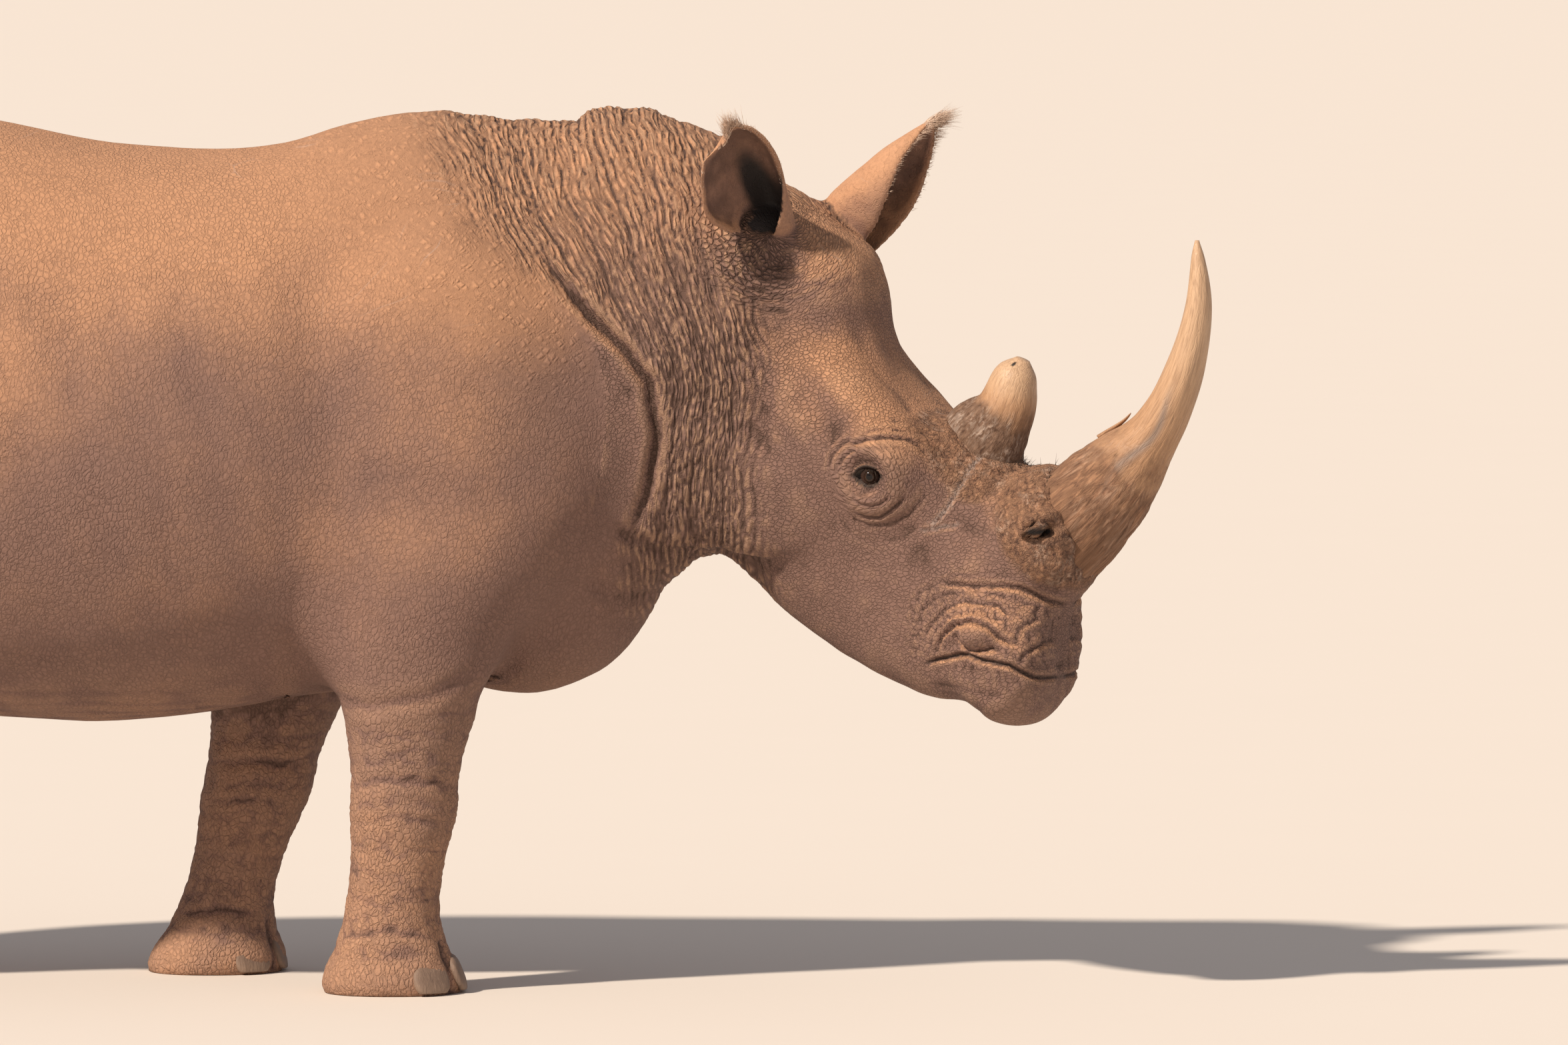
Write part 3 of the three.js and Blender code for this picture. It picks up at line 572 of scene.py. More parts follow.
def from_modifiers(worked: Object) -> None:
    """Applies an object's modifiers to its mesh."""
    depsgraph = bpy.context.evaluated_depsgraph_get()
    mesh = bpy.data.meshes.new_from_object(worked.evaluated_get(depsgraph))
    worked.modifiers.clear()
    old = worked.data
    worked.data = mesh
    bpy.data.meshes.remove(old)
    smooth_shaded(mesh)


def wrapped(
    around: int, along: int, place: Callable[[Array, Array], Array], closed: bool = True
) -> BMesh:
    """A grid laid over a surface.

    Args:
        around: how many cells go round it.
        along: how many go along it.
        place: gives the places of shares round and along.
        closed: whether the grid meets itself round the surface, with its ends then filled.

    Returns:
        The bmesh, with its doubles merged and its faces outwards where it is closed.
    """
    bm = bmesh.new()
    bmesh.ops.create_grid(bm, x_segments=around, y_segments=along, size=0.5)
    shares = np.array([v.co[:2] for v in bm.verts]) + 0.5
    for vert, co in zip(bm.verts, place(shares[:, 0], shares[:, 1])):
        vert.co = co
    if closed:
        bmesh.ops.remove_doubles(bm, verts=bm.verts, dist=1e-6)
        rims = [e for e in bm.edges if e.is_boundary]
        bmesh.ops.holes_fill(bm, edges=rims, sides=0)
        bmesh.ops.recalc_face_normals(bm, faces=bm.faces)
    return bm


def add_ball(bm: BMesh, centre: Sequence[float], radii: Sequence[float], frame: Matrix) -> None:
    """Adds an ellipsoid to a bmesh, given in a frame's millimetres."""
    place = frame @ Matrix.Translation(Vector(centre)) @ Matrix.Diagonal((*radii, 1.0))
    bmesh.ops.create_uvsphere(bm, u_segments=24, v_segments=16, radius=1.0, matrix=place)


# ------------------------------------------------------------------ ears, tail and horns as surfaces


# Share of the length, half width on the first and the second side, depth, the degrees round the
# leaf's back at which its two rims lie, how far each rim is drawn up, and how far the leaf leans.
RIGHT_EAR_ROWS: Rows = (
    (0, 44, 38, 42, -80, 258, 0, 0, 0),
    (0.1, 50, 38, 44, -84, 246, 4, 0, 0),
    (0.2, 92, 42, 46, -88, 212, 26, 0, 0),
    (0.35, 124, 48, 48, -93, 168, 64, -5, 0),
    (0.5, 114, 56, 50, -96, 138, 86, -14, 0),
    (0.65, 98, 61, 50, -98, 118, 84, -24, 0),
    (0.8, 75, 58, 44, -98, 104, 62, -20, 0),
    (0.92, 32, 42, 30, -92, 96, 8, -8, 0),
    (1, 8, 16, 10, -86, 90, 0, 0, 0),
)
LEFT_EAR_ROWS: Rows = (
    (0, 54, 54, 72, -160, 160, 0, 0, -6),
    (0.15, 58, 58, 78, -146, 146, 0, 0, 0),
    (0.3, 70, 70, 80, -132, 132, 0, 0, 10),
    (0.5, 80, 82, 72, -118, 118, 0, 0, 18),
    (0.7, 74, 76, 52, -108, 108, 0, 0, 15),
    (0.88, 42, 50, 28, -98, 98, 0, 0, 10),
    (1, 12, 14, 10, -88, 88, 0, 0, 4),
)


@dataclass
class Ear:
    """One ear: a leaf rolled into a cup, a tube at its root that opens and narrows to a tip."""

    drawing: Drawing
    side: Side
    root: Triple
    axis: Triple
    facing: Triple
    length: float
    rows: Rows
    hollow: float  # millimetres from the middle of the leaf to the middle of its hollow, where shade is painted
    thickness: float = 10.0

    def __post_init__(self) -> None:
        """Works out the ear's own axes in the head's frame: facing, across and up."""
        up = np.array(self.axis) / np.linalg.norm(self.axis)
        across = np.cross(up, self.facing)
        across /= np.linalg.norm(across)
        self.axes = np.stack([np.cross(across, up), across, up])
        self.section = through_rows(self.rows)

    def local(self, points: Array) -> Array:
        """Places on the part as millimetres in the ear's own axes."""
        return self.turned(self.drawing.head(points))

    def turned(self, head: Array) -> Array:
        """Places in the head's frame as millimetres in the ear's own axes."""
        return (head - np.array(self.root)) @ self.axes.T

    def from_root(self, head: Array) -> Array:
        """How far places in the head's frame are from the ear's root, in millimetres."""
        return lengths_of(head - np.array(self.root))

    def bowl(self, local: Array) -> Array:
        """1 on the flesh at the bottom of the cup, falling to 0 round it."""
        return np.exp(-(((local - [16, self.hollow * 0.8, 38]) / [62, 48, 56]) ** 2).sum(axis=1))

    def place(self, share: Array, angle: Array, inset: Array) -> Array:
        """Places on the leaf.

        Args:
            share: how far up the ear.
            angle: from -1 at the first rim, round the back, to 1 at the second.
            inset: millimetres inwards from the leaf's outer face.
        """
        first, second, depth, start, end, lift_first, lift_second, lean = self.section(share).T
        turned = np.radians((start + end) / 2 + angle * (end - start) / 2)
        on_second = 0.5 + 0.5 * np.sin(np.clip(turned, -math.pi / 2, math.pi / 2))
        half = first + (second - first) * on_second
        lift = np.where(angle < 0, lift_first, lift_second) * angle**2
        back = lean - (depth - inset) * np.cos(turned)
        flat = (half - inset) * np.sin(turned)
        local = np.stack([back, flat, self.length * share + lift], axis=1)
        return self.drawing.from_head(local @ self.axes + np.array(self.root))

    def thick(self, share: Array) -> Array:
        """How thick the leaf is, in millimetres: less where it narrows to its tip."""
        first, second = self.section(share)[:, :2].T
        return np.minimum(self.thickness, 0.45 * np.minimum(first, second))

    def solid(self) -> BMesh:
        """The leaf as a closed solid whose rims are rounded."""

        def surface(u: Array, share: Array) -> Array:
            turn = 2 * math.pi * u
            inwards = 0.5 - 0.5 * np.clip(2.4 * np.sin(turn), -1, 1)
            return self.place(share, -np.cos(turn), self.thick(share) * inwards)

        return wrapped(120, 70, surface)

    def away(self, points: Array, inner: bool) -> Array:
        """How far places are from the leaf's outer or inner face, in millimetres."""

        def surface(u: Array, share: Array) -> Array:
            return self.place(share, 2 * u - 1, self.thick(share) * float(inner))

        face = wrapped(90, 60, surface, closed=False)
        tree = BVHTree.FromBMesh(face)
        face.free()
        found = np.full(len(points), 1e3)
        some = lengths_of(self.local(points) - [0, 0, self.length / 2]) < 240
        for i in np.flatnonzero(some):
            found[i] = tree.find_nearest(Vector(points[i]))[3] / MILLIMETRE
        return found


@dataclass
class Rod:
    """A round solid along a curve, in the flesh's or the head's frame."""

    line: Rows
    to_part: Callable[[Array], Array]
    radii: Callable[[Array], Array]

    def __post_init__(self) -> None:
        """Lays a smooth curve through the line's points."""
        points = np.array(self.line, float)
        steps = lengths_of(np.diff(points, axis=0))
        stations = np.concatenate([[0], np.cumsum(steps)]) / steps.sum()
        self.length = float(steps.sum())
        self.curve = through_rows(np.column_stack([stations, points]).tolist())

    def frame(self, share: Array) -> tuple[Array, Array, Array]:
        """The curve's places, and the two directions across it, at shares of its length."""
        here = self.curve(share)
        ahead = self.curve(np.minimum(share + 0.01, 1)) - self.curve(np.maximum(share - 0.01, 0))
        ahead = unit(ahead)
        v = unit(np.array([0.0, 1.0, 0.0]) - ahead * ahead[:, 1:2])
        return here, np.cross(v, ahead), v

    def place(self, around: Array, share: Array, out: Array | float = 0.0) -> Array:
        """Places on the rod's surface, or some millimetres out from it."""
        here, u, v = self.frame(share)
        sizes = self.radii(share)
        turn = 2 * math.pi * around
        across = u * ((sizes[:, 0] + out) * np.cos(turn))[:, None]
        beside = v * ((sizes[:, 1] + out) * np.sin(turn))[:, None]
        return self.to_part(here + across + beside)

    def along(self, points: Array) -> tuple[Array, Array]:
        """Each place's distance from the rod's curve, in millimetres, and its share of the length."""
        line = self.to_part(self.curve(np.linspace(0, 1, 60)))
        away, share = near_line(points, line.tolist())
        return away / MILLIMETRE, share

    def outside(self, points: Array) -> Array:
        """How far places are out from the rod's surface, in millimetres."""
        away, share = self.along(points)
        return away - self.radii(share).mean(axis=1)


# ------------------------------------------------------------------ folds of the skin


@dataclass(frozen=True)
class Crease:
    """A furrow in the skin along a line seen from the side, with a swelling on each bank."""

    line: Rows
    depth: float
    width: float
    sides: tuple[Side, ...] = (Side.RIGHT, Side.LEFT)
    bank: float = 0.4
    fade: float = 0.16  # share of its length over which each end runs out

    def move(self, flat: Array, side: Array) -> Array:
        """How far the crease moves the skin outwards, in millimetres."""
        moved = np.zeros(len(flat))
        span = np.array(self.line)
        reach = 5 * self.width
        low, high = span.min(axis=0) - reach, span.max(axis=0) + reach
        signs = [s.value for s in self.sides]
        some = np.all((flat > low) & (flat < high), axis=1) & np.isin(np.sign(side), signs)
        if not some.any():
            return moved
        away, share = near_line(flat[some], self.line)
        ends = rise(share, -0.001, self.fade) * rise(share, 1.001, 1 - self.fade)
        furrow = -bell(away, 0, self.width)
        bank = self.bank * bell(away, 2.1 * self.width, 1.1 * self.width)
        moved[some] = self.depth * ends * (furrow + bank)
        return moved


@dataclass(frozen=True)
class Swelling:
    """A lump or a hollow on both sides of the head, given by its place seen from the side.

    Attributes:
        along: its middle along the head.
        height: its middle above the brow.
        long: its half length.
        short: its half width.
        out: millimetres outwards at its middle.
        tilt: degrees by which its length is tilted up from the head's.
        sharp: how sharply it ends, from 2 for a soft mound.
    """

    along: float
    height: float
    long: float
    short: float
    out: float
    tilt: float = 56.0
    sharp: float = 2.0

    def reach(self, head: Array) -> Array:
        """1 at its middle, falling to 0 round it and towards the head's middle plane."""
        c, s = cos_sin(self.tilt)
        da, dh = head[:, 0] - self.along, head[:, 2] - self.height
        r = np.hypot((c * da + s * dh) / self.long, (c * dh - s * da) / self.short)
        return np.exp(-(r**self.sharp)) * rise(np.abs(head[:, 1]), 50, 105)

    def move(self, head: Array) -> Array:
        """How far it moves the skin outwards, in millimetres."""
        return self.out * self.reach(head)


# Between the lips, from the corner of the mouth to its front: along the head and height.
MOUTH_LINE = (
    (869, -71), (882, -30), (897, 6), (912, 36), (940, 60), (975, 98), (1016, 114), (1046, 138),
    (1080, 165),
)
HEAD_CREASES = (
    Crease(((458, 76), (467, 108), (480, 133), (503, 158), (528, 168), (554, 170)), 6.5, 4.5, bank=0.3),
    Crease(((452, 96), (462, 128), (480, 152), (508, 176), (545, 182)), 3, 4),
    Crease(((560, 4), (583, 17), (601, 39), (603, 64), (601, 89), (593, 112)), 5, 3.5, bank=0.15),
    Crease(((548, -8), (572, -4), (600, 12), (622, 45), (628, 89), (613, 134), (582, 150)), 2.2, 4, bank=0.1),
    Crease(((540, 24), (560, 30), (576, 44), (583, 66), (580, 90)), 3, 3.5),
    Crease(((478, 30), (470, 48), (468, 70), (474, 92)), 2.5, 3.5),
    Crease(((470, 10), (452, 34), (446, 66), (450, 90)), 2.5, 4),
    Crease(((540, -30), (590, -34), (632, -8), (655, 50), (650, 110)), 1.2, 5, bank=0.0),
    Crease(
        ((759, 57), (807, 115), (842, 169), (860, 190), (883, 203), (911, 213), (931, 218), (951, 204),
         (967, 192)), 6.5, 5, bank=0.25,
    ),
    Crease(
        ((872, -34), (852, 4), (850, 44), (866, 84), (892, 104), (922, 112), (956, 134)), 6.5, 4.5,
        bank=0.5,
    ),
    Crease(
        ((838, -40), (822, -6), (812, 40), (822, 84), (838, 104), (866, 138), (884, 142), (916, 160)), 3, 4,
        bank=0.3,
    ),
    Crease(
        ((812, -34), (786, 0), (782, 36), (798, 84), (816, 112), (846, 150), (880, 170)), 2.2, 4,
        bank=0.3,
    ),
    Crease(((774, -20), (756, 16), (764, 62), (772, 100), (800, 134)), 1.5, 4, bank=0.2),
    Crease(((862, 44), (870, 34), (890, 36), (906, 44), (920, 60), (931, 90), (944, 104)), 8, 4.5, bank=0.1),
    Crease(MOUTH_LINE, 10, 4.5, bank=0.15, fade=0.12),
    Crease(((905, -100), (930, -60), (958, -20), (990, 18), (1022, 60)), 2.5, 9, bank=0.1),
    Crease(((930, 214), (940, 184), (968, 160), (972, 128), (990, 106)), 3.2, 4, bank=0.5),
    Crease(((898, 200), (924, 176), (926, 150), (950, 124)), 2.6, 4, bank=0.5),
    Crease(((967, 192), (978, 176), (996, 160), (1000, 136)), 3.0, 4, bank=0.5),
    Crease(((1000, 200), (1006, 178), (1022, 166), (1026, 146)), 2.6, 4, bank=0.5),
    Crease(((120, -180), (230, -130), (330, -80), (430, -50)), 4, 26),
)
# The short scar before the eye and the long one above it.
SCAR_CREASES = (
    Crease(((660, 84), (672, 108), (682, 136), (694, 155)), 2.5, 3.5, (Side.RIGHT,)),
    Crease(((667, 113), (654, 156), (632, 192), (607, 225), (598, 240)), 3, 3, (Side.RIGHT,)),
)
NOSTRIL = Swelling(794, 291, 21, 8.5, -30, sharp=3.0)
NOSTRIL_PIT = Swelling(829, 320, 10, 7, -8, sharp=3.0)  # in its lower corner
MOUTH_KNOB = Swelling(889, 74, 33, 20, 17, tilt=58.0, sharp=2.8)  # at the corner of the mouth
HEAD_SWELLINGS = (
    NOSTRIL,
    NOSTRIL_PIT,
    Swelling(773, 300, 34, 12, 15, sharp=2.6),  # the nostril's upper flap
    MOUTH_KNOB,
    Swelling(823, 298, 28, 14, 9),  # the nostril's lower lobe
    Swelling(884, 24, 30, 16, -9, tilt=-34.0),  # the pit behind the knob
    Swelling(520, 122, 46, 34, 5),  # the upper lid's pad
    Swelling(560, 34, 40, 26, 4),  # the bag below the eye
    Swelling(660, 60, 90, 60, -9, tilt=0.0),  # the hollow before the eye
    Swelling(250, 130, 130, 58, -12, tilt=10.0),  # the hollow behind the brow
    Swelling(340, 20, 190, 34, 9, tilt=-4.0),  # the cheek bone
    Swelling(700, 170, 60, 40, -8, tilt=20.0),  # the hollow between the horns' roots
    Swelling(905, 160, 46, 30, 6, tilt=40.0),  # the upper lip's two pads
    Swelling(965, 130, 40, 46, 5, tilt=40.0),
)
# The line where the neck meets the shoulder, from the withers down: along the body and height.
NECK_LINE = (
    (60, 1700), (73, 1671), (148, 1518), (225, 1412), (317, 1305), (378, 1244), (423, 1180), (440, 1080),
    (420, 960), (370, 860),
)
# Along the body, and how far the crest of the neck stands out from the plain form.
HUMP = (
    (235, 0), (276, -8), (306, 11), (338, 3), (370, -9), (436, -7), (486, -17), (520, -6), (545, 2), (600, 0),
)
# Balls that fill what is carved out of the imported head: their middle in the head's frame and their
# radii. The first two, behind the eyeballs and in the nostrils, are on both sides; the last two, under
# the roots of the horns, are in the middle.
PAIRED_PLUGS = (((524, 158, 72), (46, 42, 44)), ((796, 130, 282), (32, 28, 18)))
MIDDLE_PLUGS = (((798, 0, 262), (128, 112, 84)), ((575, 0, 195), (98, 86, 70)))
# Where the skin's mesh is made finer besides the eyes, at the nostril and the corner of the mouth: the
# middle, on the animal's left, and the reach.
FINER = (((800, 125, 296), 44), ((880, 135, 50), 52))
BODY_CREASES = (
    Crease(((73, 1671), (148, 1518), (225, 1412), (317, 1305)), 2, 12, bank=0.2, fade=0.3),
    Crease(((190, 1460), *NECK_LINE[3:]), 17, 11, bank=0.22, fade=0.3),
    Crease(((-180, 1560), (-215, 1400), (-225, 1240), (-200, 1080), (-170, 940)), 6, 60, fade=0.3),
    Crease(((300, 800), (360, 760), (440, 760)), 7, 16),
    Crease(((350, 900), (440, 850), (520, 850)), 7, 14),
    Crease(((-1650, 1330), (-1700, 1180), (-1715, 1000)), 7, 40, fade=0.3),
)
# The creases at the top of a leg, from the middle of its foot: behind the elbow, before it, across
# the forearm, and for a hind leg at the flank, behind the thigh and over the hock.
LEG_CREASES = {
    "fore": (
        Crease(((-120, 500), (-190, 590), (-225, 720), (-215, 860)), 4, 26, fade=0.3),
        Crease(((110, 520), (190, 620), (225, 760)), 6, 18, fade=0.3),
        Crease(((-190, 585), (-80, 560), (40, 580), (160, 640)), 4, 13, fade=0.3),
        Crease(((-120, 400), (-40, 420), (60, 410), (116, 380)), 2.6, 9, fade=0.3),
        Crease(((-110, 330), (-20, 345), (90, 330)), 2.0, 8, fade=0.3),
        Crease(((-110, 110), (-20, 128), (90, 112)), 3, 8, fade=0.3),
    ),
    "hind": (
        Crease(((110, 560), (230, 660), (300, 800), (320, 960)), 13, 18),
        Crease(((-150, 560), (-170, 680), (-150, 800)), 9, 18),
        Crease(((-150, 440), (-60, 400), (40, 400)), 3.5, 10, fade=0.3),
        Crease(((-120, 330), (-40, 310), (44, 330)), 2.5, 9, fade=0.3),
        Crease(((-110, 110), (-20, 128), (80, 112)), 3, 8, fade=0.3),
    ),
}


@dataclass
class Skin:
    """The one skin over all the flesh, from voxels laid onto the flesh's form and then folded."""

    drawing: Drawing
    flesh: Flesh
    ears: tuple[Ear, ...]
    tail: Rod
    horns: tuple[Rod, ...]
    voxel: float = 0.005
    pleat: float = 19.0  # millimetres from one of the neck's fine pleats to the next
    calmed: int = 170  # times that the forehead and the elbows are relaxed
    # Triangles left on each zone, in the order in which the zones are thinned.
    budget: dict[str, int] = field(default_factory=lambda: {"body": 50000, "neck": 50000, "head": 74000})
    nodes: list[str] = field(default_factory=list)

    def build(self, nodes: dict[str, Object]) -> Object:
        """Makes the skin.

        Args:
            nodes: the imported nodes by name.

        Returns:
            The finished object, with its attributes but no finish.
        """
        starts = ("trunk", "neck", "head", "lower_jaw", "tail", "leg_", "foot_", "ear_")
        self.nodes = [n for n in nodes if n.startswith(starts) and n != "tail_tuft"]
        skin = self.joined(nodes)
        voxels = skin.modifiers.new("voxels", "REMESH")
        voxels.mode = "VOXEL"
        voxels.voxel_size = self.voxel * 1.0
        from_modifiers(skin)
        log.info("skin: %d voxel faces", len(skin.data.polygons))
        self.settle(skin.data)
        self.calm(skin.data)
        self.fold(skin.data)
        self.thin(skin)
        self.refine(skin)
        skin.data.validate()
        self.open_eyes(skin.data)
        self.mark(skin.data)
        return skin

    def joined(self, nodes: dict[str, Object]) -> Object:
        """Copies of the flesh's nodes, finer ears and tail, and plugs for what was carved out."""
        bm = bmesh.new()
        for name in self.nodes:
            if not name.startswith(("ear_", "tail")):
                bm.from_mesh(nodes[name].data)
        bmesh.ops.remove_doubles(bm, verts=bm.verts, dist=1e-6)
        tail = wrapped(32, 80, lambda u, share: self.tail.place(u, share))
        for fine in [ear.solid() for ear in self.ears] + [tail]:
            merge(bm, fine)
        self.fill(bm)
        frame = self.drawing.head_matrix()
        for side in Side:
            for (along, out, height), radii in PAIRED_PLUGS:
                add_ball(bm, (along, side.value * out, height), radii, frame)
        for centre, radii in MIDDLE_PLUGS:
            add_ball(bm, centre, radii, frame)
        return made("skin", bm)

    def fill(self, bm: BMesh, size: float = 30.0) -> None:
        """Adds cubes a little inside the flesh round the tops of the legs, to bridge the nodes' joints."""
        grid = np.stack(np.mgrid[-1760:200:size, -470:480:size, 420:1180:size], axis=-1).reshape(-1, 3)
        seats = self.drawing.from_body(grid)
        inside = -self.flesh.distance(seats)
        seats = seats[(inside > size) & (inside < 2.6 * size)]
        cube = bmesh.new()
        bmesh.ops.create_cube(cube, size=1.1 * size * MILLIMETRE)
        cube.verts.index_update()
        corners = np.array([v.co[:] for v in cube.verts])
        faces = np.array([[v.index for v in f.verts] for f in cube.faces])
        cube.free()
        points = (seats[:, None] + corners[None]).reshape(-1, 3)
        quads = (faces[None] + 8 * np.arange(len(seats))[:, None, None]).reshape(-1, 4)
        passing = bpy.data.meshes.new("passing")
        passing.from_pydata(points.tolist(), [], quads.tolist())
        bm.from_mesh(passing)
        bpy.data.meshes.remove(passing)

    def loose(self, points: Array, out: Array) -> Array:
        """1 on the ears' leaves and the tail, and 0 on the flesh that they grow from."""
        leaf = np.zeros(len(points))
        for ear in self.ears:
            away = np.minimum(ear.away(points, False), ear.away(points, True))
            leaf = np.maximum(leaf, rise(away, 8, 4.5))
        x, y, _ = self.drawing.body(points).T
        tail = (x < -1690) & (np.abs(y) < 110)
        return np.maximum(leaf * rise(out, 0, 9), tail * rise(out, 9, 30))

    def settle(self, mesh: Mesh) -> None:
        """Moves the skin onto the flesh's smooth form, and rounds off where ears and tail meet it."""
        mesher = Mesher(mesh)
        points = places(mesh)
        reach = 35.0
        loose = self.loose(points, self.flesh.distance(points))
        for _ in range(3):
            normals = outward(mesh)
            first = self.flesh.distance(points)
            step = np.clip(-first, -reach, reach)
            second = self.flesh.distance(points + normals * (step * MILLIMETRE)[:, None])
            slope = np.where(np.abs(step) > 0.05, (second - first) / np.where(step == 0, 1, step), 1)
            step = np.clip(-first / np.clip(slope, 0.5, 1.5), -reach, reach) * (1 - loose)
            points = points + normals * (step * MILLIMETRE)[:, None]
            points = mesher.relaxed(points, 0.5 * (1 - loose))
            put(mesh, points)
        seam = bell(self.flesh.distance(points), 4, 22) * self.near_loose(points)
        for _ in range(14):
            points = mesher.relaxed(points, 0.6 * seam)
        put(mesh, mesher.relaxed(points, 0.35 * (1 - seam)))

    def calm(self, mesh: Mesh) -> None:
        """Smooths the forehead and the hide behind the elbows, where masses meet in narrow grooves."""
        points = places(mesh)
        along, side, height = self.drawing.head(points).T
        weight = rise(along, 170, 280) * rise(along, 660, 570) * rise(height, 50, 120)
        weight *= rise(np.abs(side), 190, 160)
        x, y, z = self.drawing.body(points).T
        for leg in self.flesh.leg_shift:
            before = self.flesh.before_leg(leg, x, z)
            own_side = np.sign(y) == Side.of(leg).value
            seat = -205 if leg.startswith("fore") else 200  # behind an elbow, or before a thigh
            elbow = rise(np.abs(before - seat), 130, 70) * rise(z, 500, 590) * rise(z, 960, 880)
            weight = np.maximum(weight, elbow * own_side * (np.abs(y) > 100))
        some = weight > 0
        mesher = Mesher(mesh, some)
        part, share = points[some], 0.8 * weight[some]
        for _ in range(self.calmed):
            part = mesher.relaxed(part, share)
        points[some] = part
        put(mesh, points)

    def near_loose(self, points: Array) -> Array:
        """Whether places are round the roots of the ears or the tail."""
        x, y, _ = self.drawing.body(points).T
        near = (x < -1640) & (np.abs(y) < 130)
        for ear in self.ears:
            near |= lengths_of(ear.local(points)) < 120
        return near

    # -------------------------------------------------------------- where things are

    def on_head(self, head: Array) -> Array:
        """1 on the head and 0 on the neck and body."""
        along, side, height = head.T
        span = rise(along, -120, 10) * rise(height, -430, -330) * (np.abs(side) < 340)
        return span * (along < 1200)

    def neck_line(self, height: Array) -> Array:
        """How far along the body the neck's line is at some heights."""
        line = np.array(NECK_LINE)[::-1]
        return np.interp(height, line[:, 1], line[:, 0])

    def lead(self, body: Array) -> Array:
        """How far in front of the neck's line a place is, in millimetres."""
        return body[:, 0] - self.neck_line(body[:, 2])

    def on_neck(self, body: Array, head: Array) -> Array:
        """1 where the skin lies in pleats: the neck, and the back of the cheek."""
        front = rise(head[:, 0] + 1.3 * head[:, 2], 330, 150)
        beyond = np.interp(body[:, 2], (1260, 1480), (0, 130))
        return rise(self.lead(body) + beyond, -40, 50 + 0.7 * beyond) * front * rise(body[:, 2], 640, 800)

    def across(self, body: Array) -> Array:
        """How far forward across the pleats a place is, in millimetres."""
        x, _, z = body.T
        slant = 0.95 - 0.65 * np.clip((x - 100) / 500, 0, 1)
        bend = 24 * noise(body, 190, 4) + 8 * noise(body, 60, 5)
        return x - slant * self.neck_line(z) + bend

    # -------------------------------------------------------------- folds

    def fold(self, mesh: Mesh) -> None:
        """Moves the skin in and out along its normals: muscles, creases and wrinkles."""
        points, normals = places(mesh), outward(mesh)
        body, head = self.drawing.body(points), self.drawing.head(points)
        on_head = self.on_head(head)
        loose = self.loose(points, self.flesh.distance(points))
        moved = self.body_folds(body, head) + self.leg_folds(body)
        some = (on_head > 0) | (lengths_of(head - [40, 0, 60]) < 340)
        moved[some] += self.head_folds(head[some], on_head[some])
        moved *= 1 - loose
        moved += loose * 0.6 * noise(points, 0.03, 5)
        points = points + normals * (moved * MILLIMETRE)[:, None]
        points[:, 2] = np.where(body[:, 2] < 3, np.minimum(points[:, 2], 0.001), points[:, 2])
        points[:, 2] = np.maximum(points[:, 2], 0)
        put(mesh, points)

    def body_folds(self, body: Array, head: Array) -> Array:
        """The moves of the trunk's and the neck's skin, in millimetres."""
        x, y, z = body.T
        flat = body[:, [0, 2]]
        moved = np.zeros(len(body))
        flank = rise(np.abs(y), 40, 140)
        for crease in BODY_CREASES:
            moved += crease.move(flat, y) * flank
        # Muscle and fat under the hide, then the neck's broad rolls, fine pleats and beads.
        moved += 7 * noise(body, 330, 1) + 2.6 * noise(body, 120, 2) + 0.8 * noise(body, 48, 3)
        pleated = self.on_neck(body, head)
        for ear in self.ears:
            pleated = pleated * rise(ear.from_root(head), 120, 200)
        some = pleated > 0.01
        across, near = self.across(body[some]), body[some]
        broad = ripple(across + 10 * noise(near, 90, 6), 88)
        lines = ripple(across + 5.5 * noise(near, 48, 17), self.pleat)
        beads = blocks(np.stack([across / self.pleat, near[:, 1] / 60, near[:, 2] / 46], axis=1), 1.0, 3)
        strength = 0.70 + 0.36 * noise(near, 150, 7)
        pleats = 3.0 * (lines - 0.6) + 3.0 * (rise(beads, 0, 0.36) - 0.7)
        moved[some] += pleated[some] * (4.0 * (broad - 0.6) + strength * pleats)
        # The ribs, the crest of the neck, the spine and the belly's wrinkles.
        ribs = rise(x, -1250, -1000) * rise(x, -200, -420) * rise(z, 760, 900) * rise(z, 1500, 1350)
        moved += 1.2 * ribs * np.sin(2 * math.pi * (x + 0.25 * z) / 118)
        middle = np.interp(x, (200, 560), (0, -75))
        top = rise(z, 1500, 1600)
        moved += bell(y, middle, 120) * top * np.interp(x, *np.array(HUMP).T)
        moved += 5 * (bell(y, 0, 36) * top) * rise(x, 60, -200)
        belly = rise(z, 640, 560) * rise(x, -1300, -1150) * rise(x, -250, -450)
        moved += belly * ripple(y + 20 * noise(body, 120, 8), 46)
        return moved

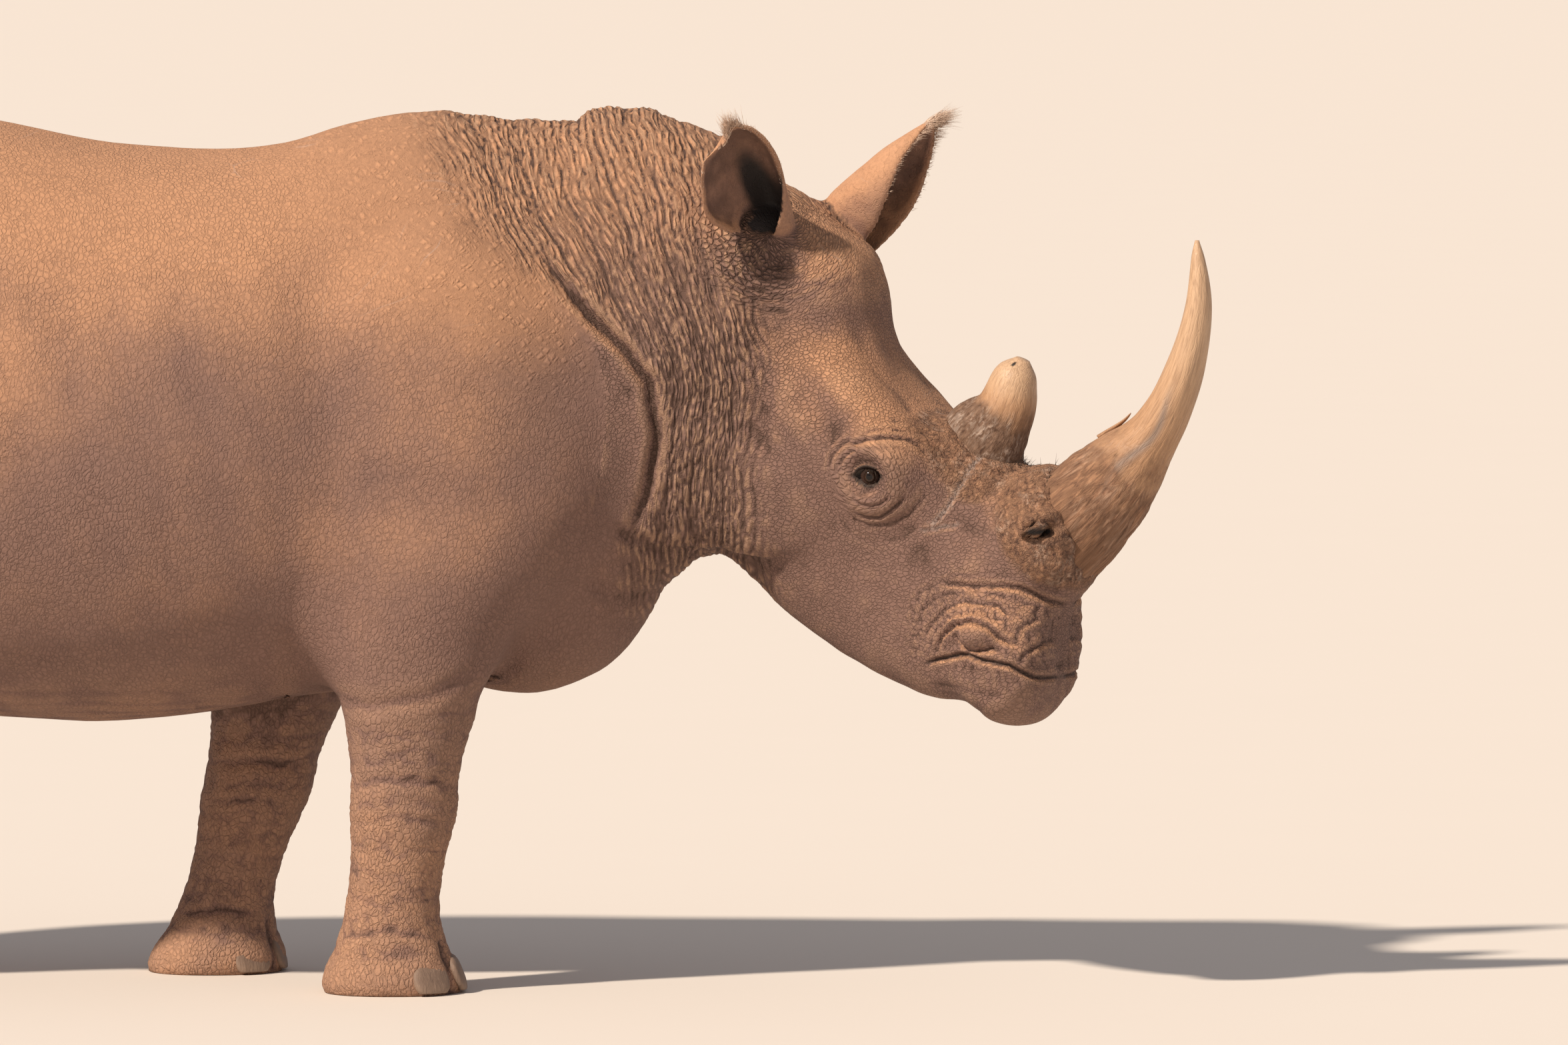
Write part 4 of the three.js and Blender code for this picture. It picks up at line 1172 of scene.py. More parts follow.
    def leg_folds(self, body: Array) -> Array:
        """The moves of the legs' skin, in millimetres: creases, wrinkles and toes."""
        moved = np.zeros(len(body))
        for leg in self.flesh.leg_shift:
            side = Side.of(leg).value
            x, y, z = body.T
            x = self.flesh.before_leg(leg, x, z)
            near = (np.abs(x) < 420) & (np.sign(y) == side) & (z < 1050)
            x, y, z, here = x[near], y[near], z[near], body[near]
            inner = rise(np.abs(y), 60, 150)
            flat = np.stack([x, z], axis=1)
            folded = np.zeros(len(here))
            for crease in LEG_CREASES[leg.split("_")[0]]:
                folded += inner * crease.move(flat, y)
            shank = rise(z, 620, 480) * rise(z, 20, 90)
            angle = np.arctan2((y - side * self.flesh.half_track) * side, x + 4)
            level = z + 17 * noise(here, 110, 9) + 4 * noise(here, 34, 18)
            plates = blocks(np.stack([level / 21, angle * 2.6, level / 80], axis=1), 1.0, 6)
            wrinkles = 1.0 * (ripple(level, 46) - 0.6) + 1.5 * (rise(plates, 0, 0.4) - 0.7)
            folded += shank * (wrinkles + 0.5 * noise(here, 40, 10))
            foot = rise(z, 125, 85)
            for gap in (-28, 28):  # degrees round the foot at which its toes part
                folded -= 8 * foot * bell(np.degrees(angle), gap, 6.5)
            folded -= 5 * rise(z, 16, 3)
            moved[near] += folded
        return moved

    def head_folds(self, head: Array, on_head: Array) -> Array:
        """The moves of the head's skin, in millimetres."""
        along, side, height = head.T
        flat = head[:, [0, 2]]
        moved = np.zeros(len(head))
        flank = rise(np.abs(side), 4, 50)
        for crease in HEAD_CREASES + SCAR_CREASES:
            moved += crease.move(flat, np.where(side < 0, -1, 1)) * flank
        for swelling in HEAD_SWELLINGS:
            moved += swelling.move(head)
        moved += 2.2 * noise(head, 95, 11) + 1.0 * noise(head, 38, 12)
        # The brow's ridge, then the chin's point and the hollow under it.
        moved += 7 * (rise(along, 230, 340) * rise(along, 620, 520) * rise(height, 60, 120))
        under = np.exp(-(((along - 965) / 60) ** 2) - ((height + 62) / 38) ** 2)
        moved += 13 * np.exp(-(((along - 1052) / 34) ** 2) - ((height - 30) / 42) ** 2) - 17 * under
        moved *= on_head
        # Wrinkles in rings round the ears' roots.
        for ear in self.ears:
            away = ear.from_root(head)
            near = rise(away, 205, 120) * rise(away, 40, 70)
            turn = np.arctan2(side - ear.root[1], along - ear.root[0]) * 110
            bend = 16 * noise(head, 80, 13) + 5 * noise(head, 30, 21)
            cells = blocks(np.stack([(away + bend) / 19, turn / 62, height / 90], axis=1), 1.0, 5)
            near *= 1 - ear.bowl(ear.turned(head))
            moved += near * (1.6 + 0.9 * noise(head, 90, 22)) * (rise(cells, 0, 0.4) - 0.7)
        # Cells on the upper lip, and upright furrows towards the front of the mouth.
        lips, knob = self.on_lips(head), MOUTH_KNOB.reach(head)
        some = lips > 0.02
        near = head[some]
        creased = rise(blocks(near * [1.0, 0.7, 1.5], 25, 1), 0, 0.16)
        level = near @ np.array([0.511, 0.407, 0.757])  # from the mouth's corner towards its front
        upright = ripple(level + 14 * noise(near, 60, 19) + 5 * noise(near, 24, 20), 20)
        front = rise(near[:, 0] - 0.2 * near[:, 2], 850, 950)
        above, _ = near_line(near[:, [0, 2]], MOUTH_LINE)
        lower = rise(near[:, 0] - 0.9 * near[:, 2], 900, 935)
        plain = np.maximum(rise(knob[some], 0.03, 0.3), 0.45 * lower)
        wrinkled = (1 - 0.7 * front) * 2.3 * (creased - 0.8)
        wrinkled += front * (0.6 + 0.4 * noise(near, 70, 23)) * 3.6 * (upright - 0.6)
        moved[some] += lips[some] * (1 - plain) * rise(above, 3, 16) * wrinkled
        # The rough boss, and the collar of hide that stands up round each horn.
        boss = self.on_boss(head)
        moved += boss * (2.4 * noise(head, 24, 14) + 1.5 * noise(head, 11, 15))
        some = (along > 430) & (height > 120)
        for horn, high, wide in zip(self.horns, (8.0, 12.0), (18.0, 19.0)):
            beside = horn.outside(self.drawing.from_head(head[some]))
            moved[some] += high * bell(np.maximum(beside, 0), 0, wide)
        return moved

    def on_lips(self, head: Array) -> Array:
        """1 on the lips and round the corner of the mouth."""
        away, _ = near_line(head[:, [0, 2]], ((850, 10), (930, 110), (1010, 140)))
        return rise(away, 120, 60) * rise(np.abs(head[:, 1]), 0, 30)

    def on_boss(self, head: Array) -> Array:
        """1 on the rough hide round the horns' roots and the nostrils."""
        along, _, height = head.T
        front = rise(np.hypot((along - 790) / 1.15, (height - 300) / 0.8), 150, 95)
        rear = rise(np.hypot(along - 555, (height - 230) / 0.8), 150, 100) * rise(height, 150, 190)
        return np.maximum(front, rear)

    # -------------------------------------------------------------- the mesh's density

    def zone(self, points: Array, name: str) -> Array:
        """1 on the body, the neck or the head with its ears, and 0 elsewhere."""
        body, head = self.drawing.body(points), self.drawing.head(points)
        on_head = (self.on_head(head) > 0.05) & (head[:, 0] > -70)
        for ear in self.ears:
            on_head |= lengths_of(ear.local(points) - [0, 0, 160]) < 210
        on_neck = (self.on_neck(body, head) > 0.3) & ~on_head
        return {"body": ~on_head & ~on_neck, "neck": on_neck, "head": on_head}[name].astype(float)

    def thin(self, skin: Object) -> None:
        """Leaves fewer faces where the skin is plain, zone by zone."""
        for zone, kept in self.budget.items():
            mesh = skin.data
            inside = self.zone(places(mesh), zone)
            group = skin.vertex_groups.new(name=zone)
            group.add(np.flatnonzero(inside).tolist(), 1.0, "REPLACE")
            corners = read(mesh.loops, "vertex_index", np.int32)
            sides = read(mesh.polygons, "loop_total", np.int32)
            share = np.add.reduceat(inside[corners], np.cumsum(sides) - sides) / sides
            total = int((sides - 2).sum())
            here = int(((sides - 2) * share).sum())
            target = kept * 1.0
            thinner = skin.modifiers.new("thinner", "DECIMATE")
            thinner.ratio = min(1.0, (total - here + target) / total)
            thinner.vertex_group = group.name
            from_modifiers(skin)
            skin.vertex_groups.clear()
            log.info("skin: %d of %d triangles on the %s", here, total, zone)
        log.info("skin: %d faces after thinning", len(skin.data.polygons))

    def refine(self, skin: Object) -> None:
        """Makes the mesh finer round the eyes, and a little round the nostrils and mouth."""
        spots = [(self.drawing.eye_place(side), reach) for side in Side for reach in (62, 46)]
        for side in Side:
            spots += [(np.array(centre) * [1, side.value, 1], reach) for centre, reach in FINER]
        for centre, reach in spots:
            place = Vector(self.drawing.from_head(centre))
            bm = bmesh.new()
            bm.from_mesh(skin.data)
            close = {v for v in bm.verts if (v.co - place).length < reach * MILLIMETRE}
            edges = [e for e in bm.edges if e.verts[0] in close and e.verts[1] in close]
            bmesh.ops.subdivide_edges(bm, edges=edges, cuts=1, smooth=0.3, use_grid_fill=True)
            bm.to_mesh(skin.data)
            bm.free()

    def open_eyes(self, mesh: Mesh) -> None:
        """Shapes the lids over each eyeball and opens them."""
        points = places(mesh)
        head = self.drawing.head(points)
        centre_side, radius = self.drawing.eye["side"], self.drawing.eye["radius"]
        for side in Side:
            out, across, up = self.eye_axes(head, side)
            near = np.hypot(across, up) < 70
            near &= (np.sign(head[:, 1]) == side.value) & (out > -40)
            u, v, w = across[near], up[near], out[near]
            flat = np.hypot(u, v)
            lid = np.sqrt(np.maximum((radius + 5.0) ** 2 - flat**2, 0))
            blend = rise(flat, 52, 22)
            w = w * (1 - blend) + np.maximum(lid, w * 0.55) * blend
            # The fold of the upper lid, the fold of the lower one, and the opening between them.
            w += 6.0 * bell(v - 20 + 0.016 * u**2, 0, 4.5) * rise(np.abs(u), 38, 22)
            w += 3.0 * bell(v + 21 - 0.018 * u**2, 0, 5) * rise(np.abs(u), 34, 18)
            shut = rise(self.beside_opening(u, v), -2.2, 1.6)
            w = w * shut + (radius - 14) * (1 - shut)
            head[near, 1] = side.value * (centre_side + w)
        put(mesh, self.drawing.from_head(head))

    def beside_opening(self, across: Array, up: Array) -> Array:
        """How far places are outside the almond between the lids, in millimetres."""
        long, high = 26.0, 16.5
        edge = np.abs(up + 0.5) - high * np.sqrt(np.maximum(1 - (across / long) ** 2, 0))
        return np.where(np.abs(across) > long, np.hypot(np.abs(across) - long, up), edge)

    def eye_axes(self, head: Array, side: Side) -> tuple[Array, Array, Array]:
        """Places from an eye's middle: outwards, along its opening, and across its opening."""
        c, s = cos_sin(self.drawing.eye["tilt"])
        da = head[:, 0] - self.drawing.eye["along"]
        dh = head[:, 2] - self.drawing.eye["height"]
        across = c * da + s * dh
        up = c * dh - s * da
        return side.value * head[:, 1] - self.drawing.eye["side"], across, up

    # -------------------------------------------------------------- what the finish reads

    def mark(self, mesh: Mesh) -> None:
        """Keeps masks and pattern coordinates on the mesh for the skin's finish.

        Most are masks from 0 to 1. "hollow" is 1 in a furrow and -1 on a ridge, "lead" is the place across
        the pleats in metres, and "ring" the place out from and round an eye or ear, in metres.
        """
        points, normals = places(mesh), outward(mesh)
        body, head = self.drawing.body(points), self.drawing.head(points)
        on_head = self.on_head(head)
        loose = self.loose(points, self.flesh.distance(points))
        lead = self.lead(body)
        ring, ringed = self.rings(head)
        # Upward-facing places take ochre dust with a painted sunlit tone; low places take half of it
        # whichever way they face.
        upward = rise(normals[:, 2] + 0.25 * noise(points, 0.3, 16), -0.25, 0.85)
        low = rise(points[:, 2], 0.75, 0.25)
        short, long = (near_line(head[:, [0, 2]], scar.line)[0] for scar in SCAR_CREASES)
        scarred = np.maximum(rise(long, 9, 2), 0.6 * rise(short, 5, 2)) * (head[:, 1] < -60)
        marks = {
            "neck": self.on_neck(body, head) * (1 - loose),
            "lead": self.across(body) * MILLIMETRE,
            "face": on_head,
            "leaf": loose,
            "low": rise(points[:, 2], 0.80, 0.45),
            # furrows and ridges, which carry painted shade and painted highlight in the finish
            "hollow": self.hollows(mesh),
            "weave": rise(lead, -520, -180) * rise(body[:, 2], 1000, 1250) * rise(lead, 500, 400),
            "boss": self.on_boss(head) * on_head,
            "ring": ring * MILLIMETRE,
            "ringed": ringed * (1 - loose),
            "dark": self.painted_shade(points, head),
            "dust": np.clip(upward * (1 - low) + 0.5 * low, 0, 1),
            "scar": scarred * on_head,
        }
        for name, values in marks.items():
            paint(mesh, name, values)

    def hollows(self, mesh: Mesh) -> Array:
        """How far each place lies in a furrow, from 1, or stands on a ridge, to -1."""
        mesher, points = Mesher(mesh), places(mesh)
        calm = mesher.means(mesher.means(points))
        depth = ((calm - points) * outward(mesh)).sum(axis=1) / MILLIMETRE
        fine = 1 - 0.75 * self.zone(points, "body") * rise(points[:, 2], 0.5, 0.7)
        return np.clip(depth / 1.1, -1, 1) * fine

    def rings(self, head: Array) -> tuple[Array, Array]:
        """Coordinates that run out from and round the nearest eye or ear, and where they hold."""
        ring = np.zeros((len(head), 3))
        best = np.full(len(head), 1e9)
        ringed = np.zeros(len(head))
        # Each middle, the reach at which the rings end, and the reach up to which they are full.
        spots = [(self.drawing.eye_place(side), 105.0, 70.0) for side in Side]
        spots += [(np.array(ear.root), 210.0, 130.0) for ear in self.ears]
        for centre, outer, inner in spots:
            step = head - centre
            away = lengths_of(step)
            turn = np.arctan2(step[:, 2], step[:, 0])
            closer = away / outer < best
            best = np.where(closer, away / outer, best)
            here = np.stack([away, np.cos(turn) * 0.5 * outer, np.sin(turn) * 0.5 * outer], axis=1)
            ring = np.where(closer[:, None], here, ring)
            ringed = np.maximum(ringed, rise(away, outer, inner))
        return ring, ringed

    def painted_shade(self, points: Array, head: Array) -> Array:
        """Painted shade in the ears' cups, in the nostrils and between the lips, and dark rims round the
        lids' opening: 1 there.
        """
        dark = np.zeros(len(points))
        for ear in self.ears:
            local = ear.local(points)
            outer = ear.away(points, False)
            cup = np.hypot((local[:, 1] - ear.hollow) / 33, (local[:, 2] - 84) / 126)
            canal = (outer > 12) * rise(ear.bowl(local), 0.02, 0.12) * rise(local[:, 2], -6, 8)
            deep = np.maximum(rise(cup, 1.2, 0.62), canal)
            dark = np.maximum(dark, (ear.away(points, True) < outer) * deep)
        on_head = self.on_head(head)
        for side in Side:
            out, across, up = self.eye_axes(head, side)
            rim = rise(self.beside_opening(across, up), 10, 4.5) * (np.hypot(across, up) < 60)
            dark = np.maximum(dark, 0.9 * rim * (out > -30) * on_head)
        for pit, strength in ((NOSTRIL, 1.0), (NOSTRIL_PIT, 0.35)):
            dark = np.maximum(dark, strength * rise(pit.reach(head), 0.35, 0.8) * on_head)
        slit, share = near_line(head[:, [0, 2]], MOUTH_LINE)
        slit = rise(slit, 6, 1) * rise(share, 0, 0.1) * rise(share, 1, 0.7)
        return np.maximum(dark, 0.6 * slit * on_head)


# ------------------------------------------------------------------ finishes


def both_ways(operation: str) -> tuple[Callable[..., Value], Callable[..., Value]]:
    """A Value's methods for one operator and for its reflected form, as Math nodes."""
    return (
        lambda self, other: self.math(operation, self, other),
        lambda self, other: self.math(operation, other, self),
    )


class Value:
    """A node's output. Arithmetic on it adds Math nodes."""

    def __init__(self, shader: Shader, socket: bpy.types.NodeSocket) -> None:
        """Keeps the output and the shader that it belongs to."""
        self.shader = shader
        self.socket = socket

    def math(self, operation: str, first: object, second: object = 0.0) -> Value:
        """One Math node."""
        return self.shader.node("ShaderNodeMath", {"operation": operation}, {0: first, 1: second})

    __add__, __radd__ = both_ways("ADD")
    __sub__, __rsub__ = both_ways("SUBTRACT")
    __mul__, __rmul__ = both_ways("MULTIPLY")

    def size(self) -> Value:
        """The value without its sign."""
        return self.math("ABSOLUTE", self)

    def stepped(self, low: float, high: float) -> Value:
        """0 below low and 1 above high, smooth between. low may be the larger."""
        settings = {"interpolation_type": "SMOOTHSTEP", "clamp": True}
        ends = (low, high, 0.0, 1.0) if low <= high else (high, low, 1.0, 0.0)
        values = dict(zip(("From Min", "From Max", "To Min", "To Max"), ends), Value=self)
        return self.shader.node("ShaderNodeMapRange", settings, values)


class Shader:
    """One material, and the ways of adding nodes to it."""

    def __init__(self, name: str) -> None:
        """Starts a material with a Principled shader and its output."""
        self.material = bpy.data.materials.new(name)
        self.material.use_nodes = True
        self.tree = self.material.node_tree
        self.tree.nodes.clear()
        self.principled = self.tree.nodes.new("ShaderNodeBsdfPrincipled")
        output = self.tree.nodes.new("ShaderNodeOutputMaterial")
        self.tree.links.new(self.principled.outputs[0], output.inputs[0])

    def feed(self, socket: bpy.types.NodeSocket, value: object) -> None:
        """Sets or links an input."""
        if isinstance(value, Value):
            self.tree.links.new(value.socket, socket)
        elif isinstance(value, tuple) and socket.type == "RGBA":
            socket.default_value = (*value, 1.0)
        else:
            socket.default_value = value

    def node(self, kind: str, settings: dict, values: dict, output: int | str = 0) -> Value:
        """Adds a node.

        Args:
            kind: the node's type.
            settings: its properties, set first.
            values: numbers, vectors, colours or outputs for its inputs, by name or place.
            output: which of its outputs is wanted.
        """
        made_node = self.tree.nodes.new(kind)
        for name, setting in settings.items():
            setattr(made_node, name, setting)
        for name, value in values.items():
            self.feed(made_node.inputs[name], value)
        return Value(self, made_node.outputs[output])

    def dress(self, **values: object) -> Material:
        """Feeds the Principled shader's inputs, with _ for a space, and returns the material."""
        for name, value in values.items():
            self.feed(self.principled.inputs[name.replace("_", " ")], value)
        return self.material

    def place(self) -> Value:
        """Object coordinates."""
        return self.node("ShaderNodeTexCoord", {}, {}, "Object")

    def mark(self, name: str) -> Value:
        """A number that the mesh keeps for each vertex."""
        return self.node("ShaderNodeAttribute", {"attribute_name": name}, {}, "Fac")

    def mark_vector(self, name: str) -> Value:
        """A vector that the mesh keeps for each vertex."""
        return self.node("ShaderNodeAttribute", {"attribute_name": name}, {}, "Vector")

    def vector(self, operation: str, first: object, second: object) -> Value:
        """One Vector Math node."""
        return self.node("ShaderNodeVectorMath", {"operation": operation}, {0: first, 1: second})

    def scaled(self, place: Value, x: float, y: float, z: float) -> Value:
        """Places multiplied along each axis."""
        return self.vector("MULTIPLY", place, (x, y, z))

    def dot(self, place: Value, axis: Triple) -> Value:
        """How far places are along an axis."""
        settings = {"operation": "DOT_PRODUCT"}
        return self.node("ShaderNodeVectorMath", settings, {0: place, 1: axis}, "Value")

    def noise(self, place: Value, scale: float, detail: float = 3.0, rough: float = 0.55) -> Value:
        """Noise from 0 to 1."""
        values = {"Vector": place, "Scale": scale, "Detail": detail, "Roughness": rough}
        return self.node("ShaderNodeTexNoise", {}, values, 0)

    def walls(self, place: Value, scale: float) -> Value:
        """How far places are from the walls of irregular cells."""
        settings = {"feature": "DISTANCE_TO_EDGE"}
        return self.node("ShaderNodeTexVoronoi", settings, {"Vector": place, "Scale": scale})

    def cells(self, place: Value, scale: float, soft: float) -> Value:
        """Irregular cells: 0 on their walls, rising to 1 inside over a soft edge."""
        return self.walls(place, scale).stepped(0.0, soft)

    def hatched(self, place: Value, slant: float) -> Value:
        """Long thin furrows that run on a slant: 0 in them and 1 between them."""
        axes = ((64.0, 0.0, 64.0 * slant), (0.0, 28.0, 0.0), (17.0, 0.0, -17.0 * slant))
        parts = [self.dot(place, axis) for axis in axes]
        turned = self.node("ShaderNodeCombineXYZ", {}, dict(zip("XYZ", parts)))
        return self.cells(turned, 1.0, 0.30)

    def warped(self, place: Value, scale: float, reach: float) -> Value:
        """Places pushed about by noise."""
        push = self.node("ShaderNodeTexNoise", {}, {"Vector": place, "Scale": scale}, 1)
        off = self.vector("SUBTRACT", push, (0.5, 0.5, 0.5))
        return self.vector("ADD", place, self.scaled(off, reach, reach, reach))

    def mix(self, factor: Value | float, first: object, second: object) -> Value:
        """A mix of two colours."""
        return self.node("ShaderNodeMix", {"data_type": "RGBA"}, {0: factor, 6: first, 7: second}, 2)

    def blend(self, factor: Value, first: Value | float, second: Value | float) -> Value:
        """A mix of two numbers."""
        return self.node("ShaderNodeMix", {"data_type": "FLOAT"}, {0: factor, 2: first, 3: second})

    def bump(self, height: Value, distance: float = MILLIMETRE) -> Value:
        """A bumped normal; the height counts in units of the distance."""
        return self.node("ShaderNodeBump", {}, {"Height": height, "Distance": distance, "Strength": 1.0})


@dataclass(frozen=True)
class Crust:
    """The flaking crust round a horn's root, where hide turns into fibre."""

    # painted shade in the crust's cracks and low places
    deep: Colour = (0.060, 0.032, 0.022)
    brown: Colour = (0.195, 0.097, 0.058)
    tan: Colour = (0.370, 0.200, 0.115)
    flake: Colour = (0.46, 0.37, 0.31)
    flaked: float = 0.25

    def over(self, s: Shader, place: Value) -> tuple[Value, Value]:
        """Its colour, and its height in millimetres."""
        bent = s.warped(place, 26.0, 0.03)
        plates = s.cells(s.scaled(bent, 1.0, 1.0, 0.55), 62.0, 0.35)
        rags = s.noise(bent, 85.0, 6.0, 0.72)
        broad = s.noise(place, 17.0, 4.0, 0.6)
        colour = s.mix(rags.stepped(0.38, 0.60), self.brown, self.tan)
        pale = broad.stepped(0.46, 0.62) * rags.stepped(0.44, 0.56)
        colour = s.mix(pale * self.flaked, colour, self.flake)
        # Painted shade in the cracks between the plates and in the crust's low, ragged places.
        colour = s.mix((1.0 - plates) * 0.55 + rags.stepped(0.44, 0.32) * 0.8, colour, self.deep)
        return colour, plates * 0.9 + rags * 4.0


@dataclass(frozen=True)
class SkinFinish:
    """Thick dry hide: a net of fine wrinkles, grey-brown and darkened by painted shade in the folds, with
    painted highlight on its ridges, and ochre dust with a painted sunlit tone over the upward-facing parts.
    """

    # ochre dust with a painted sunlit tone, on the upward-facing hide
    dust: Colour = (0.505, 0.266, 0.148)
    # grey-brown hide, which on the lower and downward-facing sides also stands for painted shade
    hide: Colour = (0.225, 0.132, 0.105)
    # painted shade in furrows and hollows; also the random dark specks
    fold: Colour = (0.080, 0.045, 0.033)
    # painted shade in the ears' cups, the nostrils and the mouth, and the lids' dark rims
    dark: Colour = (0.022, 0.017, 0.016)
    # painted highlight on the skin's ridges
    ridge_highlight: Colour = (0.60, 0.37, 0.23)
    pale: Colour = (0.42, 0.34, 0.30)

    def relief(self, s: Shader, place: Value) -> tuple[Value, Value]:
        """The net of wrinkles: 0 in its furrows and 1 on its plates, and its height in millimetres."""
        neck, face, ringed = s.mark("neck"), s.mark("face"), s.mark("ringed")
        bent = s.warped(place, 8.0, 0.035)
        fuzzy = s.warped(bent, 55.0, 0.009)
        fuzzy = s.warped(fuzzy, 190.0, 0.004)
        plain = s.cells(s.scaled(fuzzy, 1.25, 1.0, 0.8), 92.0, 0.20)
        close = s.cells(s.scaled(fuzzy, 1.0, 1.0, 1.3), 104.0, 0.18)
        lead = s.scaled(s.node("ShaderNodeCombineXYZ", {}, {"X": s.mark("lead")}), 82.0, 0.0, 0.0)
        sway = s.vector("SUBTRACT", s.warped(place, 34.0, 0.55), place)
        pleat = s.vector("ADD", lead, s.scaled(bent, 0.0, 18.0, 27.0))
        pleats = s.cells(s.vector("ADD", pleat, sway), 1.0, 0.36)
        ring = s.scaled(s.mark_vector("ring"), 135.0, 62.0, 62.0)
        ring = s.vector("ADD", ring, s.scaled(fuzzy, 42.0, 42.0, 42.0))
        rings = s.cells(ring, 1.0, 0.24)
        weave = s.hatched(bent, 1.0) * s.hatched(bent, -1.0)
        net = s.blend(s.mark("weave"), plain, weave)
        for where, pattern in ((face, close), (neck, pleats), (ringed, rings)):
            net = s.blend(where, net, pattern)
        pebbles = s.cells(s.warped(place, 80.0, 0.005), 225.0, 0.5)
        seam = (s.noise(bent, 19.0, 4.0, 0.6) - 0.5).size().stepped(0.0, 0.02)
        depth = 0.1 + s.noise(place, 4.0, 3.0, 0.6) * 1.5 + s.mark("weave") * 0.7 + face * 0.5
        depth = depth + neck * 1.8 + ringed * 1.0 + s.mark("low") * 0.6
        smooth = (1.0 - s.mark("leaf") * 0.85) * (1.0 - s.mark("dark") * 0.9)
        depth = depth * (0.5 + s.noise(place, 6.0, 2.0)) * smooth
        height = net * depth + pebbles * 0.30 + seam * 0.55 + s.noise(place, 480.0, 2.0) * 0.22
        return net * (0.7 + seam * 0.3) * (0.85 + pebbles * 0.15), height

    def material(self) -> Material:
        """Makes the finish."""
        s = Shader("hide")
        place = s.place()
        neck, boss, hollow = s.mark("neck"), s.mark("boss"), s.mark("hollow")
        net, height = self.relief(s, place)
        cloud = s.noise(place, 2.4, 4.0, 0.6)
        patch = s.noise(place, 10.0, 5.0, 0.68)
        speck = s.noise(place, 120.0, 4.0, 0.7)
        # Ochre dust with a painted sunlit tone where the hide faces up, and grey-brown hide, partly painted
        # shade, on the sides below; furrows take less dust, as painted shade, the ears more, and the head and
        # the lower body less.
        amount = s.mark("dust") * 0.95 + cloud * 0.7 + patch * 0.45 + speck * 0.18 - 0.58
        amount = amount - s.mark("face") * 0.12 + s.mark("leaf") * 0.30 - hollow * 0.16 - s.mark("low") * 0.30
        colour = s.mix(amount.stepped(0.0, 1.0), self.hide, self.dust)
        # Painted shade in the net's furrows and in the skin's hollows, strongest on the neck.
        crease_shade_strength = 0.28 + neck * 0.30 + s.mark("weave") * 0.06 + s.mark("face") * 0.07 - s.mark("low") * 0.04
        creased = (1.0 - net) * crease_shade_strength
        creased = creased * (0.55 + s.noise(place, 7.0, 3.0) * 0.9) * (1.0 - s.mark("leaf") * 0.8)
        colour = s.mix(creased + hollow.stepped(0.1, 1.0) * 0.62, colour, self.fold)
        # Painted highlight on ridges, strongest on the neck's pleats.
        colour = s.mix(hollow.stepped(-0.1, -0.9) * (0.14 + neck * 0.22), colour, self.ridge_highlight)
        colour = s.mix(speck.stepped(0.60, 0.36) * 0.16, colour, self.fold)
        scuffs = s.walls(s.scaled(s.warped(place, 2.0, 0.5), 2.2, 5.0, 9.0), 1.0).stepped(0.010, 0.0)
        scuffs = scuffs * s.noise(place, 5.0).stepped(0.55, 0.7) * s.mark("dust")
        colour = s.mix(scuffs * 0.35, colour, self.pale)
        crust, rags = Crust(flaked=0.5).over(s, place)
        crusted = (boss * 1.5 + s.noise(place, 30.0, 5.0, 0.75) * 1.3 - 1.15).stepped(0.0, 1.0)
        colour = s.mix(crusted * 0.88, colour, crust)
        colour = s.mix(s.mark("scar") * s.noise(place, 150.0).stepped(0.35, 0.62) * 0.5, colour, self.pale)
        # Painted shade in the ears' cups, the nostrils and between the lips, and the lids' dark rims.
        colour = s.mix(s.mark("dark"), colour, self.dark)
        rough = 0.93 - s.noise(place, 25.0) * 0.16 - s.mark("dark") * 0.2
        return s.dress(
            Base_Color=colour,
            Roughness=rough,
            Specular_IOR_Level=0.32,
            Normal=s.bump(height + crusted * rags * 0.8),
        )


